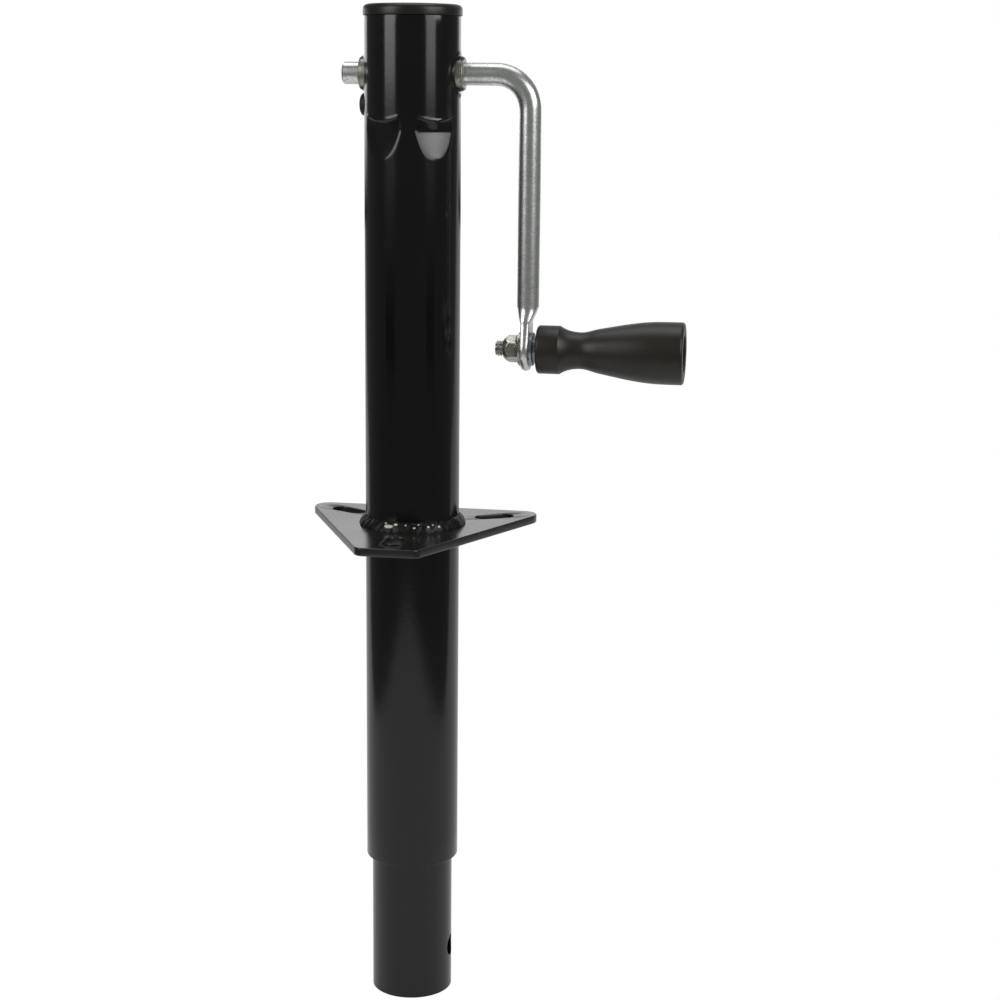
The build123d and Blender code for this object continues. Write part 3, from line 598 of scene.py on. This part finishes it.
weld = {
    "ripples": 58,
    "rippleDepth": 0.03,
    "lumpDepth": 0.16,
    "fullness": 1.3,
    "intoTube": 0.3,        # its hidden back and foot sink this far
    "intoPlate": 0.1,
    "columns": 736,
    "steps": 12,
    # where the painted glints go: cream spots that stand in for highlights on the bead
    "paintedGlintSpots": (          # degrees round, degrees up the bead, half length and half height
        (-105.6, 42, 6.5, 17), (-97, 60, 2.5, 9), (-76, 40, 1.8, 10), (-71, 66, 1.6, 8), (-60, 44, 2.2, 11),
        (-54, 62, 1.4, 8), (-47, 40, 1.8, 12), (-86, 68, 1.6, 7), (-110, 66, 1.5, 7),
    ),
}


# The bead's face is a superellipse quarter from the plate up to the tube: its size at each lean
# is one over the p-th root of cosine^p plus sine^p. It swells with ripples, a half sine of each
# beat's share to the power 0.7, which trails at the toes, and with slow lumps, a sum of sines
# round the tube. Painted glints, cream spots that stand in for highlights, are bells round the stated places.
def makeWeld():
    low, high = boxMm("plate_weld")
    tall, wide = high[2] - low[2], high[0] - tubeRadius
    angle = np.linspace(0, turn, weld["columns"], endpoint=False)[None, :]
    lean = np.linspace(0, np.pi / 2, weld["steps"])[:, None]
    beat = (weld["ripples"] * angle / turn + 0.55 * np.sin(2 * lean) + 0.35 * np.sin(5 * angle + 1)) % 1
    ripple = np.sin(np.pi * beat**0.7)
    lumps = (np.sin(3 * angle + 0.4) + np.sin(7 * angle + 2.2) + np.sin(13 * angle + 4.1 + lean)
             + np.sin(23 * angle + 2 * lean) + 0.8 * np.sin(37 * angle - 3 * lean)) / 4.8
    p = weld["fullness"]
    face = 1 / (np.cos(lean)**p + np.sin(lean)**p) ** (1 / p)
    face = face * (1 + weld["rippleDepth"] * (ripple - 0.5) + weld["lumpDepth"] * lumps)
    out = np.vstack([0 * angle, wide * face * np.cos(lean), 0 * angle])
    up = np.vstack([0 * angle, tall * face * np.sin(lean), 0 * angle])
    out[-1], up[-1] = -weld["intoTube"], up[-2]
    out[0], up[0] = out[1], -weld["intoPlate"]
    out, up = np.vstack([out, 0 * angle - weld["intoTube"]]), np.vstack([up, 0 * angle - weld["intoPlate"]])
    grid = roundAxis(low[2] + up, tubeRadius + out, angle, "z", (0, 0, 0))
    # painted glints: bells of cream colour standing in for highlights
    paintedGlint = np.zeros(grid.shape[:2])
    for around, above, halfLength, halfHeight in weld["paintedGlintSpots"]:
        away = (np.degrees(angle) - around + 180) % 360 - 180
        bell = np.exp(-((away / halfLength) ** 2) - ((np.degrees(lean) - above) / halfHeight) ** 2)
        paintedGlint[1:1 + len(lean)] += bell
    piece = addObject("weld_bead", meshFromGrids("weld_bead", [(grid, True, True)], {"paintedGlint": paintedGlint}))
    settle(piece, weldPaint, "housing", ["plate_weld"], crease=60)


makeWeld()


cap = {
    "crown": 0.7,
    "edgeRadius": 3.2,
    "skirtWall": 2.0,
    "skirtRound": 0.4,
    "insideRound": 1.2,
    "lipRadius": 0.3,
    "topThickness": 2.6,
}


# Turned about Z: a crown that drops with the square of the radius, a rounded edge, a lip on
# the tube's rim and a skirt down inside the bore.
def makeCap():
    low, high = boxMm("top_cap")
    tubeTop = boxMm("outer_tube")[1][2]
    bore = tubeRadius - tube["wall"]
    radius = high[0]
    out = np.linspace(0, radius - cap["edgeRadius"] - 1, 12)
    crown = high[2] - cap["crown"] * (out / (radius - cap["edgeRadius"])) ** 2
    skirt, ceiling, soft = bore - cap["skirtWall"], high[2] - cap["topThickness"], cap["skirtRound"]
    rest = roundedProfile([
        (crown[-1], out[-1], 0), (high[2] - cap["crown"], radius, cap["edgeRadius"]),
        (tubeTop, radius, cap["lipRadius"]), (tubeTop, bore, soft / 2),
        (low[2], bore, soft), (low[2], skirt, soft), (ceiling, skirt, cap["insideRound"]), (ceiling, 0, 0),
    ], closed=False, steps=6)
    profile = np.vstack([np.stack([crown, out], 1), rest[1:]])
    piece = addObject("cap", meshFromGrids("cap", [(turned(profile, 144), False, True)]))
    settle(piece, capPlastic, "housing", ["top_cap"])


makeCap()


rodRadius = 6.5           # the crank's round bar
wallSink = 0.02           # backs that sit on the tube sink into it by this

bushing = {
    "barrelRadius": 8.5,
    "boreGap": 0.05,
    "face": 0.7,          # chamfer on the outer face
    "step": 0.45,         # how far the outer disc stands in from the flange's edge
    "groove": 0.3,
    "discDepth": 0.85,    # from the outer face to the groove
    "flangeDepth": 1.15,  # from the outer face to the flange
}


# The flange is turned about the shaft, and its back follows the tube: along the shaft it
# stands at the root of the tube's radius squared less the point's sideways distance squared.
def makeBushing(name, node, side):
    low, high = boxMm(node)
    face, inner = np.abs([low[0], high[0]]).max(), np.abs([low[0], high[0]]).min()
    flange, barrel = high[1], bushing["barrelRadius"]
    bore = rodRadius + bushing["boreGap"]
    angle = np.linspace(0, turn, 144, endpoint=False)[None, :]
    disc = flange - bushing["step"]
    grooveStart, grooveEnd = face - bushing["discDepth"], face - bushing["flangeDepth"]
    front = roundedProfile([
        (inner, bore, 0.2), (face, bore, 0.3), (face, disc, bushing["face"]),
        (grooveStart, disc, 0.05), ((grooveStart + grooveEnd) / 2, disc - bushing["groove"], 0.05),
        (grooveEnd, flange, 0.15), (tubeRadius, flange, 0)], closed=False, steps=4)[:-1]
    back = np.linspace(flange, barrel, 6)[:, None]
    saddle = np.sqrt(tubeRadius**2 - (back * np.cos(angle)) ** 2) - wallSink
    along = np.vstack([front[:, :1] + 0 * angle, saddle, inner + 0 * angle])
    out = np.vstack([front[:, 1:] + 0 * angle, back + 0 * angle, barrel + 0 * angle])
    grid = roundAxis(side * along, out, angle, "x", (0, 0, shaftHeight))
    piece = addObject(name, meshFromGrids(name, [(grid, True, True)]))
    settle(piece, flangeZinc, "housing", [node])


makeBushing("bushing_left", "shaft_bushing_left", -1)
makeBushing("bushing_right", "shaft_bushing_right", 1)

plug = {
    "stemRadius": 4.5,
    "rimHeight": 0.9,
    "dome": 0.6,          # the dome's power, lower is squarer
}


# A dome on a short rim, as high as one less the cube of the radius' share, to the dome's power.
# Its back follows the tube as the bushings' backs do, and a stem goes through the wall.
def makePlug():
    low, high = boxMm("grease_plug")
    radius, tall = high[1], -low[0] - tubeRadius
    angle = np.linspace(0, turn, 96, endpoint=False)[None, :]
    share = np.linspace(0, 1, 14)[:, None]
    dome = tubeRadius + plug["rimHeight"] + (tall - plug["rimHeight"]) * (1 - share**3) ** plug["dome"]
    back = np.array([radius, plug["stemRadius"]])[:, None]
    saddle = np.sqrt(tubeRadius**2 - (back * np.cos(angle)) ** 2) - wallSink
    stem = np.array([[plug["stemRadius"]], [0]]) + 0 * angle
    along = np.vstack([dome + 0 * angle, saddle, 0 * stem - high[0]])
    out = np.vstack([share * radius + 0 * angle, back + 0 * angle, stem])
    grid = roundAxis(-along, out, angle, "x", (0, 0, (low[2] + high[2]) / 2))
    piece = addObject("plug", meshFromGrids("plug", [(grid, False, True)]))
    settle(piece, plugRubber, "housing", ["grease_plug"])


makePlug()


crank = {
    "bendRadius": 20.0,
    "endChamfer": 0.9,
    "eyeThickness": 5.0,
    "eyeShift": 0.7,
    "flatLength": 16.0,   # eye centre up to where the flats end
    "taperLength": 9.0,
    "neckWidth": 9.0,     # half width where the flats end
    "hardness": 12,
    "boltRadius": 4.8,
    "columns": 72,
}


# A round section carried along the shaft, round the bend and down the arm. Flats clip it: across
# the arm a point stands at v over (1 + v^n)^(1/n) of the half thickness, where v is its round
# place over that half thickness. Below the eye's centre the section swings about the bolt.
def makeCrank():
    low, high = boxMm("crank_rod")
    armX, bend = high[0] - rodRadius, crank["bendRadius"]
    eyeRadius, thin = high[1], crank["eyeThickness"] / 2
    flatTop = gripHeight + crank["flatLength"]
    taperTop = flatTop + crank["taperLength"]
    chamfer = crank["endChamfer"]
    shaftX = np.concatenate([[low[0], low[0], low[0] + chamfer],
                             np.linspace(low[0] + chamfer + 1, armX - bend, 40)])
    size = np.concatenate([[0, 1 - chamfer / rodRadius], np.ones(41)])
    swing = np.linspace(0, np.pi / 2, 25)[1:]
    armZ = np.concatenate([np.linspace(shaftHeight - bend, taperTop + 1, 30)[1:],
                           np.linspace(taperTop, flatTop, 22), np.linspace(flatTop, gripHeight, 18)[1:]])
    x = np.concatenate([shaftX, armX - bend + bend * np.sin(swing), armX + 0 * armZ])
    z = np.concatenate([shaftHeight + 0 * shaftX, shaftHeight - bend + bend * np.cos(swing), armZ])
    heading = np.concatenate([0 * shaftX, swing, np.pi / 2 + 0 * armZ])
    size = np.concatenate([size, np.ones(len(swing) + len(armZ))])
    inTaper = np.clip((taperTop - z) / crank["taperLength"], 0, 1) * (heading > 1.5)
    half = np.where(inTaper > 0, rodRadius + (thin - rodRadius) * inTaper, 3 * rodRadius)
    shift = -crank["eyeShift"] * smoothStep(inTaper)
    line = crank["neckWidth"] + (eyeRadius - crank["neckWidth"]) * (flatTop - z) / crank["flatLength"]
    circle = np.sqrt(np.maximum(eyeRadius**2 - (z - gripHeight) ** 2, 0))
    width = rodRadius + (crank["neckWidth"] - rodRadius) * smoothStep(inTaper)
    width = np.where((heading > 1.5) & (z < flatTop), np.maximum(line, circle), width)
    around = np.linspace(0, turn, crank["columns"], endpoint=False)[None, :]
    n = crank["hardness"]
    v = rodRadius * np.cos(around) / half[:, None]
    across = half[:, None] * v / (1 + np.abs(v) ** n) ** (1 / n) * size[:, None] + shift[:, None]
    sideways = width[:, None] * np.sin(around) * size[:, None]
    upper = np.stack([x[:, None] + across * np.sin(heading)[:, None], sideways,
                      z[:, None] + across * np.cos(heading)[:, None]], -1)
    swing = np.linspace(0, np.pi / 2, 20)[1:, None]
    lower = np.stack([upper[-1:, :, 0] + 0 * swing, sideways[-1:] * np.cos(swing),
                      gripHeight - np.abs(sideways[-1:]) * np.sin(swing)], -1)
    grid = np.concatenate([upper, lower])
    piece = addObject("crank_bar", meshFromGrids("crank_bar", [(grid, False, True)]))
    cutAway(piece, [rod(crank["boltRadius"], armX - 10, armX + 10, "x", (0, 0, gripHeight))])
    settle(piece, rodZinc, "crank", ["crank_rod"], crease=38)


makeCrank()


grip = {
    "collarLength": 14.0,
    "collarRadius": 14.4,
    "neckPlace": 26.0,
    "neckRadius": 10.9,
    "shoulder": (0.4, -0.62),         # start of the curve: under the collar, slope
    "swell": (10.8, 2.35, 0.19),      # past the neck, over its radius, slope
    "barrel": (40.0, 0.45, 0.085),    # past the neck, under the end's radius, slope
    "edge": 1.6,
    "boreRadius": 7.15,
    "recessRadius": 11.2,
    "recessDepth": 11.7,
}


# Turned about the bolt: a straight collar, then a line through the neck and the swell.
def makeGrip():
    low, high = boxMm("handle_grip")
    start, end, radius = low[0], high[0], high[1]
    edge, collar, neck = grip["edge"], start + grip["collarLength"], start + grip["neckPlace"]
    x = np.linspace(collar, end - edge - 0.2, 70)
    under, collarSlope = grip["shoulder"]
    swellPlace, swellOver, swellSlope = grip["swell"]
    barrelPlace, barrelUnder, barrelSlope = grip["barrel"]
    curve = smoothThrough([
        (collar, grip["collarRadius"] - under, collarSlope), (neck, grip["neckRadius"], 0.0),
        (neck + swellPlace, grip["neckRadius"] + swellOver, swellSlope),
        (neck + barrelPlace, radius - barrelUnder, barrelSlope), (end, radius, 0.0)], x)
    recess = end - grip["recessDepth"]
    collarRadius, bore, hollow = grip["collarRadius"], grip["boreRadius"], grip["recessRadius"]
    head = roundedProfile([
        (start, bore, 0.3), (start, collarRadius, edge), (collar - 0.5, collarRadius, 0.3),
        (collar, curve[0], 0)], closed=False, steps=5)
    tail = roundedProfile([
        (x[-1], curve[-1], 0), (end, radius, edge), (end, hollow, 0.5), (recess, hollow, 0.4),
        (recess, bore, 0.3), (start, bore, 0)], closed=False, steps=5)
    profile = np.vstack([head[:-1], np.stack([x, curve], 1), tail[1:-1]])
    surface = turned(profile, 128, "x", (0, 0, gripHeight))
    piece = addObject("grip", meshFromGrids("grip", [(surface, True, True)]))
    settle(piece, gripPlastic, "grip", ["handle_grip"])


makeGrip()

bolt = {
    "radius": 4.76,
    "pitch": 1.5875,
    "threadDepth": 0.85,
    "threadLength": 20.0,
    "headHeight": 6.0,
    "acrossFlats": 14.3,
    "tipChamfer": 0.9,
    "tipSlope": 1.1,
    "headInset": 0.15,        # the head's end face stands this far inside its flats
    "headSlope": 1.7,
    "holeGap": 0.04,          # between the bolt and what it goes through
}


# distance out to the flat of a hexagon: half the flats over the cosine from the nearest flat
def hexagon(angle, acrossFlats):
    return acrossFlats / 2 / np.cos((angle + np.pi / 6) % (np.pi / 3) - np.pi / 6)


# The thread is a triangle wave of (along over pitch less the turn), so it winds as one helix,
# trimmed by the tip's cone. The head is a hexagon trimmed by a wider cone.
def makeBolt():
    low, high = boxMm("handle_bolt")
    tip, headStart, end = low[0], high[0] - bolt["headHeight"], high[0]
    angle = np.linspace(0, turn, 96, endpoint=False)[None, :]
    threadEnd = tip + bolt["threadLength"]
    headRows = [headStart, headStart + 0.3, end - 1.6, end - 0.8, end, end]
    x = np.concatenate([[tip], np.arange(tip, threadEnd, bolt["pitch"] / 10),
                        [threadEnd + 1, headStart], headRows])[:, None]
    wave = np.abs(((x / bolt["pitch"] - angle / turn) % 1) - 0.5) * 2
    fade = np.clip((threadEnd - x) / 2, 0, 1)
    shank = bolt["radius"] - bolt["threadDepth"] * fade * np.clip(wave * 1.25 - 0.12, 0, 1)
    shank = np.minimum(shank, bolt["radius"] - bolt["tipChamfer"] + (x - tip) * bolt["tipSlope"])
    trim = bolt["acrossFlats"] / 2 - bolt["headInset"] + (end - x) * bolt["headSlope"]
    head = np.minimum(hexagon(angle, bolt["acrossFlats"]), trim)
    isHead = np.arange(len(x))[:, None] >= len(x) - len(headRows)
    out = np.where(isHead, head, shank)
    out[[0, -1]] = 0
    grid = roundAxis(x, out, angle, "x", (0, 0, gripHeight))
    piece = addObject("bolt", meshFromGrids("bolt", [(grid, False, True)]))
    settle(piece, nutZinc, "crank", ["handle_bolt"], crease=25)


makeBolt()

nut = {
    "acrossFlats": 14.3,
    "flangeRim": 1.4,
    "coneLength": 2.6,
    "chamferOut": 2.3,
    "chamferAlong": 3.2,
    "coneOver": 0.6,          # how far over the flats the flange's cone ends
    "rimSoft": 0.25,
}


# Along the bolt the nut's outside is the larger of its flange cone and a hexagon that the
# end cone trims.
def makeNut():
    low, high = boxMm("lock_nut")
    face, back, flange = low[0], high[0], high[1]
    angle = np.linspace(0, turn, 144, endpoint=False)[None, :]
    rim = back - nut["flangeRim"]
    x = np.concatenate([[face], np.linspace(face, face + 4, 12), np.linspace(face + 4.4, back - 4.2, 5),
                        np.linspace(back - 4, rim, 8), [rim + 0.3, back - 0.3, back - 0.1, back, back]])
    x = x[:, None]
    corner = nut["acrossFlats"] / 2 / np.cos(np.pi / 6)
    cone = corner - nut["chamferOut"] + (x - face) * nut["chamferOut"] / nut["chamferAlong"]
    body = np.minimum(hexagon(angle, nut["acrossFlats"]), cone)
    drop = flange - nut["acrossFlats"] / 2 + nut["coneOver"]
    skirt = flange - np.maximum(rim - x, 0) * drop / nut["coneLength"]
    skirt = np.minimum(skirt, flange - nut["rimSoft"] + np.minimum(back - x, nut["rimSoft"]))
    out = np.maximum(body, skirt)
    hole = bolt["radius"] + bolt["holeGap"]
    out[[0, -1]] = hole
    grid = roundAxis(x, out, angle, "x", (0, 0, gripHeight))
    piece = addObject("nut", meshFromGrids("nut", [(grid, True, True)]))
    settle(piece, nutZinc, "crank", ["lock_nut"], crease=25)


makeNut()

washer = {
    "thickness": 2.0,
    "rolledEdge": 0.5,
    "plainEdge": 0.3,
    "holeEdge": 0.2,
}


# Two punched rings with one edge rolled over, turned about the bolt.
def makeWashers():
    low, high = boxMm("handle_washers")
    thick, radius, hole = washer["thickness"], high[1], bolt["radius"] + bolt["holeGap"]
    rings = []
    for x in (low[0], high[0] - thick):
        profile = roundedProfile([
            (x, hole, washer["holeEdge"]), (x, radius, washer["plainEdge"]),
            (x + thick, radius, washer["rolledEdge"]), (x + thick, hole, washer["plainEdge"])], steps=4)
        rings.append((turned(profile, 96, "x", (0, 0, gripHeight)), True, True))
    piece = addObject("washers", meshFromGrids("washers", rings))
    settle(piece, shadedWasherZinc, "crank", ["handle_washers"])


makeWashers()


leg = {
    "wall": 3.0,
    "rimRound": 0.7,
    "pinHoleRadius": 6.75,
    "pinHoleHeight": 28.0,
    "weldHoleRadius": 4.0,
    "weldAngles": (45, 135, 225, 315),
}


# A turned tube wall with rounded rims, drilled across for the foot pin and for the plug welds.
def makeLeg():
    low, high = boxMm("inner_tube")
    radius, soft = high[0], leg["rimRound"]
    bore = radius - leg["wall"]
    profile = roundedProfile([(low[2], radius, soft), (high[2], radius, soft), (high[2], bore, soft),
                              (low[2], bore, soft)], steps=5)
    profile = denser(profile, 40)
    piece = addObject("leg_tube", meshFromGrids("leg_tube", [(turned(profile, 144), True, True)]))
    weldLow, weldHigh = boxMm("nut_welds")
    pinHole = (0, 0, low[2] + leg["pinHoleHeight"])
    holes = [rod(leg["pinHoleRadius"], -radius - 3, radius + 3, "x", pinHole, 64)]
    for direction in np.radians(leg["weldAngles"]):
        grid, closeRows, closeColumns = rod(leg["weldHoleRadius"], bore - 2, radius + 2, "x", (0, 0, 0), 40)
        spin = np.array(Matrix.Rotation(direction, 3, "Z"))
        holes.append((grid @ spin.T + [0, 0, (weldLow[2] + weldHigh[2]) / 2], closeRows, closeColumns))
    cutAway(piece, holes)
    settle(piece, tubePaint, "leg", ["inner_tube"])


makeLeg()

screw = {
    "pitch": 4.0,
    "threadDepth": 1.9,
    "headRadius": 7.0,
    "headChamfer": 0.6,
    "tipChamfer": 1.5,
    "runOut": 3.0,        # the thread fades over this, below the collar
    "steps": 10,          # rows in one pitch
    "columns": 48,
}


# One right-hand helix: a trapezoid wave of (height over pitch less the turn) cut into the
# bar, run out below the collar, with a plain neck above.
def makeScrew():
    low, high = boxMm("lead_screw")
    radius = high[0]
    threadTop = boxMm("thrust_collar")[0][2] - 1
    neckStart = boxMm("driven_gear")[0][2]
    angle = np.linspace(0, turn, screw["columns"], endpoint=False)[None, :]
    z = np.concatenate([[low[2]], np.arange(low[2], threadTop, screw["pitch"] / screw["steps"]),
                        [threadTop + 0.5, neckStart, neckStart, high[2] - screw["headChamfer"]],
                        [high[2], high[2]]])[:, None]
    wave = np.abs(((z / screw["pitch"] - angle / turn) % 1) - 0.5) * 2
    cut = np.clip(wave * 2.6 - 0.8, 0, 1) * np.clip((threadTop - z) / screw["runOut"], 0, 1)
    out = radius - screw["threadDepth"] * cut
    out = np.minimum(out, radius - screw["tipChamfer"] + np.maximum(z - low[2], 0))
    out[-4:] = screw["headRadius"]
    out[-2] = screw["headRadius"] - screw["headChamfer"]
    out[[0, -1]] = 0
    grid = roundAxis(z, out, angle, "z", (0, 0, 0))
    piece = addObject("screw", meshFromGrids("screw", [(grid, False, True)]))
    settle(piece, threadSteel, "screw", ["lead_screw"], crease=30)


makeScrew()


studio = {
    "paperTone": 0.36,
    "paperGlow": 0.40,
    "surround": 0.14,
    "floorFront": -0.98,      # the paper's rounded near end
    "floorBack": 1.5,         # where it starts to rise
    "riseRadius": 0.9,
    "wallTop": 3.2,
    "nearHalfWidth": 0.60,
    "farHalfWidth": 1.75,
    "widenOver": 1.2,         # distance behind the object over which it widens
    "flatRows": 47,
}

sideStops = (0.03, 0.0), (0.262, 0.10), (0.29, 0.9), (0.31, 1.0)

# each softbox: width and height, place, aim, glow, and (height, strength) stops up the card
softboxes = {
    "boxLeft": ((0.62, 1.3), (-0.86, -0.92, 0.55), (0, 0, 0.3), 3.6, sideStops),
    "boxRight": ((0.52, 1.3), (1.02, -0.72, 0.55), (0, 0, 0.3), 2.9, sideStops),
    "boxDimple": ((0.5, 0.5), (1.12, -0.42, 0.70), (0, 0, 0.24), 6.0, ((0.0, 0.4), (0.3, 1.0))),
    "boxTop": ((1.4, 1.0), (0.0, 0.3, 1.7), (0, 0, 0), 2.2, ((0.0, 0.8), (0.3, 1.0))),
    "boxBack": ((1.9, 0.34), (-0.25, 1.05, 0.27), (0, 0, 0.1), 1.5, ((0.05, 0.0), (0.45, 1.0))),
}


# a dim even surround for reflections, and plain white to the camera alone
def makeSurround():
    world = bpy.data.worlds.new("surround")
    world.use_nodes = True
    bpy.context.scene.world = world
    nodes, links = world.node_tree.nodes, world.node_tree.links
    path, glow = nodes.new("ShaderNodeLightPath"), nodes.new("ShaderNodeMix")
    glow.data_type = "FLOAT"
    glow.inputs[2].default_value, glow.inputs[3].default_value = studio["surround"], 1.0
    nodes["Background"].inputs["Color"].default_value = (1, 1, 1, 1)
    links.new(path.outputs["Is Camera Ray"], glow.inputs[0])
    links.new(glow.outputs[0], nodes["Background"].inputs["Strength"])


# where a card or a lens stands: its right, its up and the way it looks
def pose(right, up, forward, place):
    return Matrix(np.vstack([np.column_stack([right, up, -forward, place]), [0, 0, 0, 1]]).tolist())


# a card that glows evenly across, with its strength set by stops up its height
def makeSoftbox(name, size, place, aim, glow, stops):
    across, up = np.meshgrid(np.array([-0.5, 0.5]) * size[0], np.array([-0.5, 0.5]) * size[1])
    mesh = bpy.data.meshes.new(name)
    mesh.from_pydata(np.stack([across, up, 0 * up], -1).reshape(-1, 3).tolist(), [], [[0, 1, 3, 2]])
    card = addObject(name, mesh)
    forward = np.array(aim, float) - np.array(place, float)
    forward /= np.linalg.norm(forward)
    right = np.cross(forward, (0, 0, 1))
    right /= np.linalg.norm(right)
    lift = np.cross(right, forward)
    card.matrix_world = pose(right, lift, forward, place)
    light = Finish(name)
    light.tree.nodes.remove(light.shader)
    shine = light.node("ShaderNodeEmission", {"Color": (1, 1, 1, 1)})
    edge = light.maths("DIVIDE", light.axis("Y"), size[1])
    strength = light.ramp(light.maths("ADD", edge, 0.5), *stops)
    light.tree.links.new(light.maths("MULTIPLY", strength, glow), shine.inputs["Strength"])
    output = light.tree.nodes["Material Output"]
    light.tree.links.new(shine.outputs[0], output.inputs["Surface"])
    mesh.materials.append(light.material)
    card.visible_camera = False


# The paper: a grid of distance by width, flat, then up a quarter circle to a wall. It is wider
# at the back than beside the object, and its near end is half an ellipse.
def makeGround():
    bend = np.linspace(0, np.pi / 2, 18)
    flat = np.linspace(studio["floorFront"], studio["floorBack"], studio["flatRows"] + 1)[:-1]
    run = np.concatenate([flat, studio["floorBack"] + studio["riseRadius"] * np.sin(bend)])
    rise = np.concatenate([0 * flat, studio["riseRadius"] * (1 - np.cos(bend))])
    run, rise = np.append(run, run[-1]), np.append(rise, studio["wallTop"])
    near, far = studio["nearHalfWidth"], studio["farHalfWidth"]
    wide = near + (far - near) * smoothStep(run / studio["widenOver"])
    wide *= np.sqrt(1.0001 - np.clip(run / studio["floorFront"], 0, 1) ** 2)
    across = np.linspace(-1, 1, 9)[None, :] * wide[:, None]
    grid = np.stack([across, run[:, None] + 0 * across, rise[:, None] + 0 * across + cadLow[2]], -1)
    mesh = bpy.data.meshes.new("paper")
    mesh.from_pydata(grid.reshape(-1, 3).tolist(), [], gridQuads(*grid.shape[:2], False, False).tolist())
    mesh.polygons.foreach_set("use_smooth", np.ones(len(mesh.polygons), bool))
    sheet = addObject("paper", mesh)
    paper = Finish("paper")
    tone = paper.ramp(paper.noise(3, 2), (0.3, studio["paperTone"]), (0.7, studio["paperTone"] * 1.04))
    mesh.materials.append(paper.wear(Base_Color=tone, Roughness=0.9, Emission_Color=(1, 1, 1, 1),
                                     Emission_Strength=studio["paperGlow"]))
    sheet.visible_camera = False    # the white surround is what shows, so a leg run out isn't hidden


bpy.context.scene.view_settings.view_transform = "Standard"
makeGround()
makeSurround()
for boxName, boxSettings in softboxes.items():
    makeSoftbox(boxName, *boxSettings)
print("studio ready with", len(softboxes), "softboxes")

camera = {
    "azimuth": 12.05,     # degrees round the tube from the front
    "distance": 1.1979,   # metres from the tube's axis
    "height": 0.2716,     # metres over the frame's origin
    "tilt": 11.9,         # degrees down
    "turnRight": 2.56,
    "roll": 0.56,
    "lens": 72.0,         # millimetres
}


def makeCamera():
    azimuth, tilt, away, roll = np.radians([camera[k] for k in ("azimuth", "tilt", "turnRight", "roll")])
    distance = camera["distance"]
    place = np.array([np.sin(azimuth) * distance, -np.cos(azimuth) * distance, camera["height"]])
    heading = np.array([-np.sin(azimuth), np.cos(azimuth), 0])
    heading = np.array([heading[0] * np.cos(away) + heading[1] * np.sin(away),
                        -heading[0] * np.sin(away) + heading[1] * np.cos(away), 0])
    forward = heading * np.cos(tilt) + np.array([0, 0, -np.sin(tilt)])
    right = np.cross(heading, (0, 0, 1))
    up = np.cross(right, forward)
    right, up = np.cos(roll) * right + np.sin(roll) * up, np.cos(roll) * up - np.sin(roll) * right
    data = bpy.data.cameras.new("camera")
    data.lens, data.sensor_width, data.clip_start = camera["lens"], 36, 0.01
    lens = bpy.data.objects.new("camera", data)
    bpy.context.scene.collection.objects.link(lens)
    lens.matrix_world = pose(right, up, forward, place)
    bpy.context.scene.camera = lens
    print("camera set")


makeCamera()
